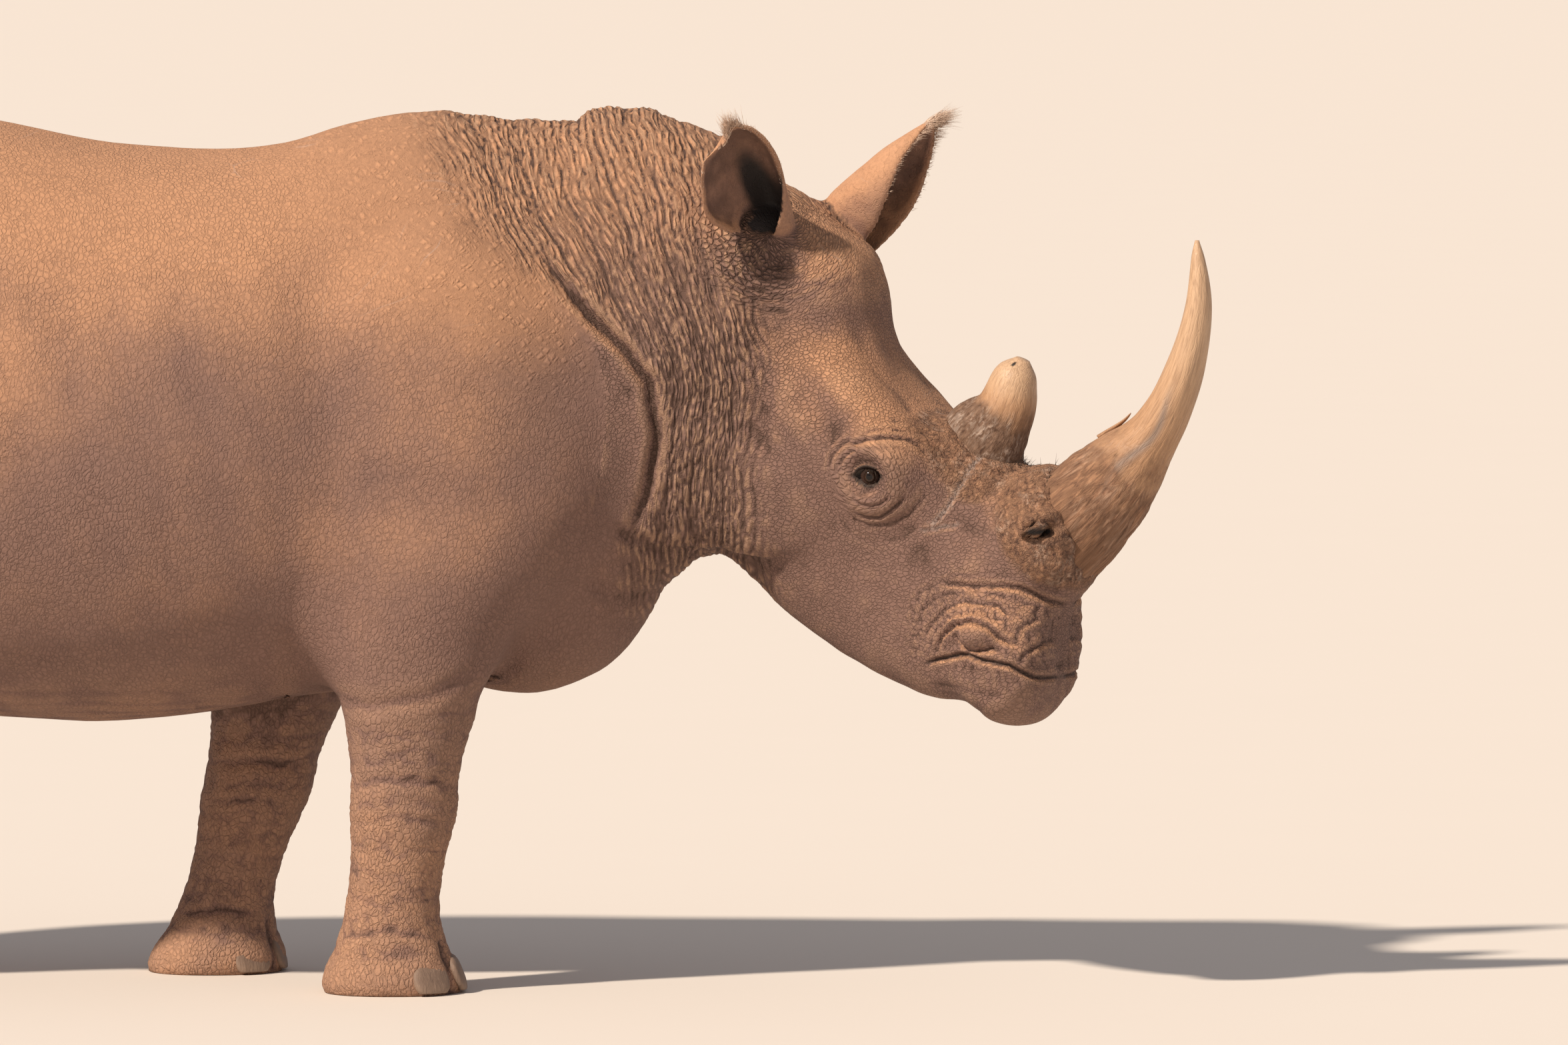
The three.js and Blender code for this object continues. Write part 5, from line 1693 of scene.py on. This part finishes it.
@dataclass(frozen=True)
class HornFinish:
    """Horn: packed fibres that run lengthwise, polished towards the tip and ragged at the root."""

    name: str
    crust: Crust = Crust()
    tip: Colour = (0.56, 0.370, 0.230)
    shaft: Colour = (0.42, 0.235, 0.125)
    root: Colour = (0.190, 0.098, 0.055)
    grey: Colour = (0.22, 0.18, 0.16)
    # painted shade in a pit
    pit: Colour = (0.015, 0.01, 0.008)
    rough_to: float = 0.34  # share of the horn up to which it is ragged
    polished_from: float = 0.8
    drawn: float = 0.22  # below 1, how far the crust is drawn out lengthwise

    def material(self) -> Material:
        """Makes the finish."""
        s = Shader(self.name)
        place, share = s.place(), s.mark("share")
        grain = s.mark_vector("grain")
        fibres = s.noise(s.scaled(grain, 260.0, 260.0, 9.0), 1.0, 4.0, 0.6)
        strands = s.noise(s.scaled(grain, 90.0, 90.0, 3.0), 1.0, 3.0)
        wander = s.noise(place, 24.0, 4.0, 0.6) + strands * 0.5 - 0.75
        ragged = (share + wander * 0.26).stepped(self.rough_to + 0.07, self.rough_to - 0.10)
        tipped = share.stepped(self.rough_to, self.polished_from)
        colour = s.mix(tipped, self.shaft, self.tip)
        colour = s.mix(strands.stepped(0.50, 0.78) * 0.5 * (1.0 - tipped * 0.5), colour, self.root)
        colour = s.mix(s.mark("streak") * 0.75, colour, self.grey)
        crust, rags = self.crust.over(s, s.scaled(grain, 1.5, 1.5, self.drawn))
        colour = s.mix(ragged * 0.92, colour, crust)
        colour = s.mix(share.stepped(0.24, 0.02) * 0.45, colour, self.root)
        colour = s.mix(fibres.stepped(0.60, 0.33) * 0.34, colour, self.root)
        # painted shade in the rear horn's pit
        colour = s.mix(s.mark("pit"), colour, self.pit)
        cracks = s.cells(s.scaled(s.warped(grain, 20.0, 0.01), 120.0, 120.0, 7.0), 1.0, 0.10)
        height = fibres * 0.9 + cracks * 0.35 + ragged * (fibres * 0.8 + rags * 0.55)
        rough = 0.50 + ragged * 0.40 + fibres * 0.12 - tipped * 0.08
        return s.dress(
            Base_Color=colour, Roughness=rough, Specular_IOR_Level=0.42, Normal=s.bump(height)
        )


@dataclass(frozen=True)
class EyeFinish:
    """A wet dark eye: a brown iris round a wide pupil, in a brown ball."""

    centre: Triple
    axis: Triple
    pupil: Colour = (0.004, 0.003, 0.003)
    iris: Colour = (0.045, 0.021, 0.011)
    ball: Colour = (0.050, 0.028, 0.021)

    def material(self) -> Material:
        """Makes the finish for an eye whose middle and gaze are given."""
        s = Shader("eye")
        step = s.vector("SUBTRACT", s.place(), self.centre)
        facing = s.dot(s.vector("NORMALIZE", step, (0.0, 0.0, 0.0)), self.axis)
        rays = s.noise(s.scaled(step, 900.0, 900.0, 900.0), 1.0, 3.0)
        iris = s.mix(rays.stepped(0.35, 0.7) * 0.6, self.iris, self.pupil)
        colour = s.mix(facing.stepped(0.80, 0.86), self.ball, self.pupil)
        colour = s.mix(facing.stepped(0.85, 0.88), colour, iris)
        colour = s.mix(facing.stepped(0.955, 0.968), colour, self.pupil)
        damp = s.noise(s.place(), 260.0)
        return s.dress(
            Base_Color=colour,
            Roughness=0.02 + damp * 0.02,
            IOR=1.38,
            Specular_IOR_Level=0.28,
            Coat_Weight=0.35,
            Coat_Roughness=0.01,
        )


@dataclass(frozen=True)
class NailFinish:
    """A blunt toenail: dull brown horn, ridged upwards and scuffed at its edge."""

    base: Colour = (0.19, 0.125, 0.090)
    worn: Colour = (0.30, 0.205, 0.145)

    def material(self) -> Material:
        """Makes the finish."""
        s = Shader("nail")
        place = s.place()
        ridges = s.noise(s.scaled(place, 260.0, 260.0, 18.0), 1.0, 3.0)
        scuffed = s.noise(place, 55.0, 5.0, 0.7)
        height = s.node("ShaderNodeSeparateXYZ", {}, {"Vector": place}, "Z")
        edge = height.stepped(0.032, 0.004) * 0.6 + scuffed.stepped(0.45, 0.75) * 0.5
        colour = s.mix(edge, self.base, self.worn)
        bumped = s.bump(ridges * 0.8 + scuffed * 0.6, 0.0016)
        return s.dress(Base_Color=colour, Roughness=0.55 + scuffed * 0.3, Normal=bumped)


@dataclass(frozen=True)
class HairFinish:
    """Coarse hair, darker at some of its roots."""

    name: str
    light: Colour
    deep: Colour

    def material(self) -> Material:
        """Makes the finish."""
        s = Shader(self.name)
        place = s.place()
        mottle = s.noise(place, 160.0, 3.0)
        colour = s.mix(mottle.stepped(0.35, 0.65), self.deep, self.light)
        return s.dress(Base_Color=colour, Roughness=0.55 + mottle * 0.3, Specular_IOR_Level=0.4)


# ------------------------------------------------------------------ horns, eyes and nails


@dataclass
class Horn:
    """One horn: fibres round a curve in the head's middle plane."""

    name: str
    replaced: str
    rod: Rod
    finish: HornFinish
    around: int
    along: int
    fibre: float = 1.1
    ragged: float = 4.0

    def relief(self, around: Array, share: Array) -> Array:
        """Millimetres out from the plain rod: fibres all along, and rags at the root."""
        turn = 2 * math.pi * around
        size = self.rod.radii(share).mean(axis=1)
        grain = np.stack([np.cos(turn) * size, np.sin(turn) * size, share * self.rod.length], axis=1)
        worn = rise(share, 0.95, 0.55)
        out = self.fibre * worn * noise(grain * [1, 1, 0.05], 7, 21)
        out += 1.6 * worn * noise(grain * [1, 1, 0.25], 34, 22)
        rough = rise(share, self.finish.rough_to + 0.05, self.finish.rough_to - 0.12)
        out += rough * self.ragged * noise(grain * [1, 1, 0.6], 20, 23)
        out += rough * 0.5 * self.ragged * noise(grain * [1, 1, 0.5], 8, 24)
        return out

    def surface(self, around: Array, share: Array) -> Array:
        """Places on the horn's finished surface."""
        return self.rod.place(around, share, self.relief(around, share))

    def solid(self) -> BMesh:
        """The horn as a closed bmesh."""
        return wrapped(self.around, self.along, self.surface)

    def build(self) -> Object:
        """Makes the horn, without its finish."""
        horn = made(self.name, self.solid())
        self.mark(horn.data)
        return horn

    def mark(self, mesh: Mesh) -> None:
        """Keeps how far up the horn each place is, and the way its fibres run."""
        points = places(mesh)
        _, share = self.rod.along(points)
        centre, u, v = self.rod.frame(share)
        middle = self.rod.to_part(centre)
        across, beside = (
            ((points - middle) * (self.rod.to_part(centre + way) - middle)).sum(axis=1) / MILLIMETRE
            for way in (u, v)
        )
        turn = np.degrees(np.arctan2(beside, across))
        paint(mesh, "share", share)
        paint(mesh, "grain", np.stack([across, beside, share * self.rod.length * MILLIMETRE], axis=1))
        paint(mesh, "streak", self.streak(share, turn))
        paint(mesh, "pit", self.pit(share, turn))

    def streak(self, share: Array, turn: Array) -> Array:
        """Where a grey streak lies: nowhere on a plain horn."""
        return np.zeros(len(share))

    def pit(self, share: Array, turn: Array) -> Array:
        """Where a pit lies: nowhere on a plain horn."""
        return np.zeros(len(share))


@dataclass
class FrontHorn(Horn):
    """The long front horn, with a split sliver behind it and a grey streak up its side."""

    def streak(self, share: Array, turn: Array) -> Array:
        """A wavering streak up its right side."""
        wander = 8 * np.sin(share * 24)
        return bell(turn + 78 + wander, 0, 9) * rise(share, 0.2, 0.3) * rise(share, 0.62, 0.5)

    def sliver(self) -> BMesh:
        """The strip that has split off the back of the horn and stands a little away from it."""

        def surface(u: Array, t: Array) -> Array:
            share = 0.315 + 0.125 * t
            here, back, beside = self.rod.frame(share)
            size = self.rod.radii(share)[:, 0]
            lift = 1 + 9 * t**1.5
            thick, wide = 5.5 * (1 - t) ** 0.7 + 0.7, 13 * (1 - t) ** 0.6 + 1.2
            turn = 2 * math.pi * u
            out = -(size + lift + thick * np.cos(turn))
            side = wide * np.sin(turn)
            return self.rod.to_part(here + back * out[:, None] + beside * side[:, None])

        return wrapped(14, 26, surface)

    def solid(self) -> BMesh:
        """The horn and its sliver as one bmesh."""
        bm = super().solid()
        merge(bm, self.sliver())
        return bm


@dataclass
class RearHorn(Horn):
    """The stubby rear horn, with a small pit near its tip, shown only by painted shade."""

    pit_share: float = 0.955
    pit_turn: float = -100.0

    def pit(self, share: Array, turn: Array) -> Array:
        """A round pit on its right side, where shade is painted."""
        away = np.hypot((share - self.pit_share) * self.rod.length, (turn - self.pit_turn) * 0.55)
        return rise(away, 5.5, 3.0)


@dataclass
class Eye:
    """One eyeball, with the cornea's bulge."""

    drawing: Drawing
    side: Side

    def build(self) -> Object:
        """Makes the eyeball, with its finish."""
        centre = Vector(self.drawing.from_head(self.drawing.eye_place(self.side)))
        aim = np.array([0.16, self.side.value, 0.12])
        aim = Vector(aim / np.linalg.norm(aim) @ self.drawing.axes)
        radius = self.drawing.eye["radius"] * MILLIMETRE
        bm = bmesh.new()
        turned = aim.to_track_quat("Z", "Y").to_matrix().to_4x4()
        bmesh.ops.create_uvsphere(
            bm, u_segments=64, v_segments=48, radius=radius, matrix=Matrix.Translation(centre) @ turned
        )
        for vert in bm.verts:
            step = vert.co - centre
            facing = step.normalized().dot(aim)
            bulge = max(0.0, (facing - 0.86) / 0.14)
            vert.co += step.normalized() * 0.0014 * bulge * (2 - bulge)
        eye = made(f"eyeball_{self.side.name.lower()}", bm)
        eye.data.materials.append(EyeFinish(tuple(centre), tuple(aim)).material())
        return eye


@dataclass
class Nail:
    """One toenail: a shallow shell on the front of a toe, cut off level near the floor."""

    drawing: Drawing
    leg: str
    place: str
    turn: float
    half: float
    high: float
    foot_along: float
    depth: float = 12.5
    floor: float = 6.0
    squareness: float = 2.6  # 2 is an ellipsoid, and more is squarer

    def build(self) -> Object:
        """Makes the nail without a finish."""
        side = Side.of(self.leg).value
        reach = 122 if self.leg.startswith("fore") else 115  # millimetres out from the leg's middle
        start = Vector(self.drawing.from_body([self.foot_along, side * Flesh.half_track, 0]))
        frame = Matrix.Translation(start) @ Matrix.Scale(MILLIMETRE, 4)
        frame @= Matrix.Rotation(math.radians(self.turn) * side, 4, "Z")
        frame @= Matrix.Translation((reach, 0, self.high - 4)) @ Matrix.Rotation(-0.38, 4, "Y")
        frame @= Matrix.Diagonal((self.depth, self.half, self.high, 1))
        bm = bmesh.new()
        bmesh.ops.create_uvsphere(bm, u_segments=40, v_segments=28, radius=1.0)
        for vert in bm.verts:
            x, y, z = vert.co
            fuller = (abs(y) ** self.squareness + abs(z) ** self.squareness + abs(x) ** self.squareness)
            fuller **= 1 / self.squareness
            vert.co = vert.co / fuller * 0.97
            vert.co.x += 0.05 * math.sin(y * 19) * max(x, 0)
        bmesh.ops.transform(bm, matrix=frame, verts=bm.verts)
        cut = bmesh.ops.bisect_plane(
            bm,
            geom=bm.verts[:] + bm.edges[:] + bm.faces[:],
            plane_co=(0, 0, self.floor * MILLIMETRE),
            plane_no=(0, 0, -1),
            clear_outer=True,
        )["geom_cut"]
        bmesh.ops.holes_fill(bm, edges=[e for e in cut if isinstance(e, bmesh.types.BMEdge)], sides=0)
        return made(f"toenail_{self.leg}_{self.place}", bm)


# ------------------------------------------------------------------ hair


@dataclass
class Hairs:
    """Single hairs or thin locks, joined into one piece, each with its own patch of the bake map.

    Attributes:
        roots: where each starts.
        ways: the way each sets out.
        falls: the way each bends towards.
        lengths: how long each is.
        widths: how thick each is at its root.
        seats: each root's place on an unwrap of the surface it grows from, from 0 to 1.
    """

    name: str
    roots: Array
    ways: Array
    falls: Array
    lengths: Array
    widths: Array
    seats: Array
    rings: int = 5
    patch: float = 0.003

    def one(self) -> tuple[Array, list[tuple[int, ...]]]:
        """One upright hair of unit size, from a tapered tube: its vertices and faces."""
        bm = bmesh.new()
        bmesh.ops.create_cone(
            bm, cap_ends=True, segments=3, radius1=1.0, radius2=0.12, depth=1.0,
            matrix=Matrix.Translation((0, 0, 0.5)),
        )
        long = [e for e in bm.edges if abs(e.verts[0].co.z - e.verts[1].co.z) > 0.5]
        bmesh.ops.subdivide_edges(bm, edges=long, cuts=self.rings - 1)
        bmesh.ops.triangulate(bm, faces=bm.faces)
        bm.verts.index_update()
        shape = np.array([v.co[:] for v in bm.verts])
        faces = [tuple(v.index for v in f.verts) for f in bm.faces]
        bm.free()
        return shape, faces

    def build(self) -> Object:
        """Makes the hairs as one object, without a finish."""
        shape, faces = self.one()
        ways = unit(self.ways)
        side = unit(np.cross(ways, self.falls))
        other = np.cross(ways, side)
        up = shape[:, 2][None, :, None]
        lengths, widths = self.lengths[:, None, None], self.widths[:, None, None]
        points = self.roots[:, None] + lengths * (ways[:, None] * up + self.falls[:, None] * up**2)
        points = points + widths * side[:, None] * shape[:, 0][None, :, None]
        points = points + widths * other[:, None] * shape[:, 1][None, :, None]
        count, size = len(self.roots), len(shape)
        corners = np.array(faces)[None] + (np.arange(count) * size)[:, None, None]
        mesh = bpy.data.meshes.new(self.name)
        mesh.from_pydata(points.reshape(-1, 3).tolist(), [], corners.reshape(-1, 3).tolist())
        flat = self.seats[:, None] + self.patch * np.stack([shape[:, 0] * 0.4, shape[:, 2]], axis=1)
        uv = mesh.uv_layers.new(name="OFBake")
        uv.data.foreach_set("uv", flat.reshape(-1, 2)[corners.ravel()].astype(np.float32).ravel())
        smooth_shaded(mesh)
        mesh.update()
        return linked(self.name, mesh)


def ear_fringe(ear: Ear, count: int, reach: float, sweep: Sequence[float]) -> Hairs:
    """The hair along an ear's rims, longest at its tip and swept one way."""
    rng = np.random.default_rng(7 + ear.side.value)
    share = 1 - 0.55 * rng.random(count) ** 1.8
    rim = np.where(rng.random(count) < 0.35, -1.0, 1.0)
    tip = rng.random(count) < 0.5
    share = np.where(tip, 1 - 0.05 * rng.random(count), share)
    angle = np.where(tip, rng.uniform(-1, 1, count), rim * rng.uniform(0.93, 1.0, count))
    inset = ear.thick(share) * rng.random(count)
    roots = ear.place(share, angle, inset)
    above = ear.place(np.minimum(share + 0.02, 1.02), angle, inset)
    up = unit(above - ear.place(share - 0.02, angle, inset))
    out = unit(roots - ear.place(share, angle * 0.9, inset))
    axis = (ear.axes[2] @ ear.drawing.axes)[None]
    ways = 0.7 * axis + 0.3 * up + 0.8 * out * (~tip)[:, None] + 0.2 * rng.normal(size=(count, 3))
    lengths = reach * np.where(tip, 1.0, 0.12 + 0.4 * rise(share, 0.8, 1.0)) * rng.uniform(0.55, 1.1, count)
    falls = 0.25 * rng.normal(size=(count, 3)) + 0.2 * axis + np.array(sweep)
    seats = np.stack([0.05 + 0.42 * (angle + 1) / 2, 0.05 + 0.88 * np.clip(share, 0, 1)], axis=1)
    name = f"fringe_{ear.side.name.lower()}"
    return Hairs(name, roots, ways, falls, lengths, rng.uniform(0.0004, 0.0008, count), seats)


def tail_tuft(tail: Rod, count: int) -> Hairs:
    """The coarse hair round the end of the tail."""
    rng = np.random.default_rng(11)
    share = 0.80 + 0.2 * rng.random(count) ** 0.8
    around = rng.random(count)
    roots = tail.place(around, share, np.full(count, -1.0))
    out = unit(roots - tail.to_part(tail.curve(share)))
    down = np.array([[0.03, 0.02, -1.0]])
    ways = 0.85 * down + 0.42 * out * rng.uniform(0.5, 1.3, (count, 1)) + 0.08 * rng.normal(size=(count, 3))
    falls = 0.25 * down - 0.32 * out + 0.07 * rng.normal(size=(count, 3))
    lengths = rng.uniform(0.075, 0.17, count) * (1.15 - 0.3 * (share - 0.8) / 0.2)
    seats = np.stack([0.05 + 0.9 * around, 0.05 + 0.9 * share], axis=1)
    return Hairs("tuft_of_tail", roots, ways, falls, lengths, rng.uniform(0.0008, 0.0016, count), seats)


def lashes(drawing: Drawing, side: Side, count: int = 46) -> Hairs:
    """The short lashes of both lids."""
    rng = np.random.default_rng(23 + side.value)
    upper = rng.random(count) < 0.75
    across = rng.uniform(-17, 17, count)
    height = 11.5 * np.sqrt(1 - (across / 20.5) ** 2) + 2.0
    up = np.where(upper, height, -height)
    out = drawing.eye["side"] + 22.5 - 0.012 * across**2
    c, s = cos_sin(drawing.eye["tilt"])
    along = drawing.eye["along"] + c * across - s * up
    high = drawing.eye["height"] + s * across + c * up
    roots = drawing.from_head(np.stack([along, side.value * out, high], axis=1))
    sideways = np.tile([0.0, side.value, 0.0], (count, 1)) @ drawing.axes
    upward = np.array([-s, 0.0, c]) @ drawing.axes
    spread = np.array([c, 0.0, s]) @ drawing.axes
    lean = np.where(upper, -0.15, -0.3)[:, None] * upward
    ways = sideways + lean + (across / 30)[:, None] * spread + 0.12 * rng.normal(size=(count, 3))
    falls = np.where(upper, -0.55, -0.2)[:, None] * upward
    lengths = np.where(upper, 0.017, 0.008) * rng.uniform(0.7, 1.1, count)
    seats = np.stack([0.5 + across / 50, np.where(upper, 0.7, 0.3)], axis=1)
    name = f"lashes_{side.name.lower()}"
    return Hairs(name, roots, ways, falls, lengths, rng.uniform(0.00035, 0.0005, count), seats)


def bristles(drawing: Drawing, hide: Object, count: int) -> Hairs:
    """The short bristles on the boss, between the horns and behind the front one's root."""
    rng = np.random.default_rng(31)
    tree = BVHTree.FromPolygons([v.co for v in hide.data.vertices], [p.vertices for p in hide.data.polygons])
    along = np.where(rng.random(count) < 0.6, rng.normal(700, 12, count), rng.normal(640, 14, count))
    side = rng.normal(0, 34, count)
    down = Vector(np.array([0.0, 0.0, -1.0]) @ drawing.axes)
    starts = drawing.from_head(np.stack([along, side, np.full(count, 480.0)], axis=1))
    hits = [tree.ray_cast(Vector(start), down, 0.5)[0] for start in starts]
    kept = np.array([hit is not None for hit in hits])
    roots = np.array([hit[:] for hit in hits if hit is not None])
    number = len(roots)
    ways = -np.array(down)[None] + 0.4 * rng.normal(size=(number, 3))
    falls = 0.3 * rng.normal(size=(number, 3))
    seats = np.stack([0.5 + side[kept] / 400, (along[kept] - 560) / 260], axis=1)
    lengths = rng.uniform(0.006, 0.017, number)
    return Hairs("bristles", roots, ways, falls, lengths, rng.uniform(0.0004, 0.0007, number), seats)


# ------------------------------------------------------------------ the studio


@dataclass(frozen=True)
class Studio:
    """A plain pale floor, a large soft key light, soft fill, and the camera."""

    floor_reach: float = 400.0
    floor: Colour = (0.70, 0.64, 0.58)
    target: Triple = (0.883, 0.0, 0.897)
    distance: float = 24.0
    elevation: float = 3.0
    lens: float = 282.9
    sensor: float = 36.0
    key_way: Triple = (0.53, 0.52, -0.67)
    key_colour: Colour = (1.0, 0.875, 0.74)
    key_energy: float = 4.8
    key_angle: float = 3.0
    sky: Colour = (0.84, 0.82, 0.86)
    sky_strength: float = 0.44

    def build(self) -> None:
        """Sets the floor, the lights and the camera."""
        self.lay_floor()
        self.light()
        camera = bpy.data.cameras.new("camera")
        camera.lens, camera.sensor_width = self.lens, self.sensor
        camera.clip_end = 2000.0
        camera.dof.use_dof = False
        eye = linked("camera", camera)
        back, up = cos_sin(self.elevation)
        away = Vector((0, -back, up)) * self.distance
        eye.location = Vector(self.target) + away
        eye.rotation_euler = (-away).to_track_quat("-Z", "Y").to_euler()
        bpy.context.scene.camera = eye
        bpy.context.scene.view_settings.view_transform = "Standard"

    def lay_floor(self) -> None:
        """A wide plain disc."""
        bm = bmesh.new()
        bmesh.ops.create_circle(bm, cap_ends=True, segments=64, radius=self.floor_reach)
        floor = made("floor", bm)
        s = Shader("floor")
        tone = s.noise(s.place(), 1.6, 3.0)
        colour = s.mix(tone * 0.12, self.floor, tuple(0.9 * c for c in self.floor))
        floor.data.materials.append(s.dress(Base_Color=colour, Roughness=0.95))

    def light(self) -> None:
        """A soft warm key from high on the left, and a pale sky for fill."""
        key = bpy.data.lights.new("key", "SUN")
        key.energy, key.angle, key.color = self.key_energy, math.radians(self.key_angle), self.key_colour
        lamp = linked("key", key)
        lamp.rotation_euler = Vector(self.key_way).to_track_quat("-Z", "Y").to_euler()
        world = bpy.data.worlds.new("studio")
        world.use_nodes = True
        background = world.node_tree.nodes["Background"]
        background.inputs["Color"].default_value = (*self.sky, 1.0)
        background.inputs["Strength"].default_value = self.sky_strength
        bpy.context.scene.world = world


# ------------------------------------------------------------------ the animal


# Along and height in the head's middle plane; then share of the length, half depth and half width.
FRONT_HORN_LINE: Rows = (
    (800, 250), (790, 322), (770, 436), (738, 555), (682, 656), (592, 756), (484, 825),
)
FRONT_HORN_SIZES: Rows = (
    (0, 102, 94), (0.1, 103, 98), (0.167, 97, 94), (0.24, 90, 84), (0.333, 74, 70), (0.42, 54, 55),
    (0.5, 46, 48), (0.667, 35, 38), (0.833, 24, 27), (0.95, 13, 14), (1, 4, 4),
)
REAR_HORN_LINE: Rows = ((588, 175), (560, 245), (536, 312), (500, 358), (476, 396))
REAR_HORN_SIZES: Rows = (
    (0, 80, 68), (0.3, 87, 72), (0.55, 61, 59), (0.75, 50, 49), (0.9, 38, 38), (1, 14, 14),
)


@dataclass
class Rhinoceros:
    """All the pieces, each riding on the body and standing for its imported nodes."""

    drawing: Drawing
    nodes: dict[str, Object]

    def __post_init__(self) -> None:
        """Lays out the parts that other pieces are placed by."""
        right = ((20, -118, 150), (-0.56, -0.74, 0.37), (0.5, -0.62, 0.6), 300.0, RIGHT_EAR_ROWS, 14.0)
        left = ((52, 128, 142), (-0.32, 0.14, 0.94), (0.84, -0.05, 0.55), 308.0, LEFT_EAR_ROWS, 0.0)
        self.ears = (Ear(self.drawing, Side.RIGHT, *right), Ear(self.drawing, Side.LEFT, *left))
        root, length, radius = np.array([-1800.0, 0.0, 1420.0]), 620.0, 42.0
        steps = (
            (70, 0, 55),
            (-38, 0, -30),
            (-72, 6, -0.35 * length),
            (-66, 16, -0.7 * length),
            (-44, 26, -length),
        )

        def taper(share: Array) -> Array:
            return radius * np.stack([1 - 0.66 * share, 1.15 - 0.759 * share], axis=1)

        self.tail = Rod((root + np.array(steps)).tolist(), self.drawing.from_body, taper)
        self.front = self.horn_rod(FRONT_HORN_LINE, FRONT_HORN_SIZES)
        self.rear = self.horn_rod(REAR_HORN_LINE, REAR_HORN_SIZES)

    def horn_rod(self, line: Rows, sizes: Rows) -> Rod:
        """A rod in the head's middle plane."""
        flat = [(along, 0.0, height) for along, height in line]
        return Rod(flat, self.drawing.from_head, through_rows(sizes))

    def keep(
        self, piece: Object, slot: str, *nodes: str, finish: Material | None = None
    ) -> None:
        """Finishes a piece, has it ride on the body, and hides and logs the nodes that it stands for."""
        if finish:
            piece.data.materials.append(finish)
        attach(piece, BODY)
        if nodes:
            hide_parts(*nodes)
        log.info("%s: %d faces, for %s", piece.name, len(piece.data.polygons), ", ".join(nodes) or "-")

    def build(self) -> None:
        """Makes every piece."""
        skin = Skin(self.drawing, Flesh(self.drawing), self.ears, self.tail, (self.front, self.rear))
        hide = skin.build(self.nodes)
        hide.data.materials.clear()
        self.keep(hide, "skin", *skin.nodes, finish=SkinFinish().material())
        self.build_horns()
        for side in Side:
            self.keep(Eye(self.drawing, side).build(), "eye", f"eye_{side.name.lower()}")
        self.build_nails()
        self.build_hair(hide)

    def build_horns(self) -> None:
        """The front and the rear horn."""
        fine = HornFinish("front_horn")
        front = FrontHorn("front_horn", "horn_front", self.front, fine, 120, 190, ragged=3.0)
        rough = Crust(brown=(0.135, 0.080, 0.055), tan=(0.235, 0.150, 0.105), flaked=0.8)
        blunt = HornFinish("rear_horn", rough, rough_to=0.60, polished_from=0.85, drawn=0.9)
        rear = RearHorn("rear_horn", "horn_rear", self.rear, blunt, 110, 90, ragged=2.6)
        for horn in (front, rear):
            self.keep(horn.build(), "horn", horn.replaced, finish=horn.finish.material())

    def build_nails(self) -> None:
        """Three nails on each foot."""
        finish = NailFinish().material()
        # Degrees outwards round the foot, half width and half height.
        sizes = {"middle": (0, 56, 40), "outer": (52, 42, 33), "inner": (-52, 42, 33)}
        feet = {"fore_right": -71, "fore_left": -437, "hind_right": -1598, "hind_left": -1403}
        for leg, along in feet.items():
            for place, (turn, half, high) in sizes.items():
                nail = Nail(self.drawing, leg, place, turn, half, high, along).build()
                self.keep(nail, "nail", f"nail_{leg}_{place}", finish=finish)

    def build_hair(self, hide: Object) -> None:
        """The fringes of the ears, the tuft of the tail, the bristles of the boss and the lashes."""
        fringe = HairFinish("fringe", (0.78, 0.60, 0.47), (0.50, 0.35, 0.26)).material()
        coarse = HairFinish("coarse_hair", (0.075, 0.050, 0.036), (0.020, 0.014, 0.011)).material()
        for ear, reach, sweep in zip(self.ears, (0.025, 0.030), ((-0.1, 0, 0.3), (0.9, 0, -0.2))):
            self.keep(ear_fringe(ear, 800, reach, sweep).build(), "hair", finish=fringe)
        self.keep(tail_tuft(self.tail, 1500).build(), "hair", "tail_tuft", finish=coarse)
        self.keep(bristles(self.drawing, hide, 260).build(), "hair", finish=coarse)
        for side in Side:
            self.keep(lashes(self.drawing, side).build(), "hair", finish=coarse)


def main() -> None:
    """Builds the animal and the studio."""
    logging.basicConfig(level=logging.INFO, format="%(name)s: %(message)s")
    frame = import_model()
    drawing = Drawing()
    Studio().build()
    Rhinoceros(drawing, frame["nodes"]).build()


if __name__ == "__main__":
    main()
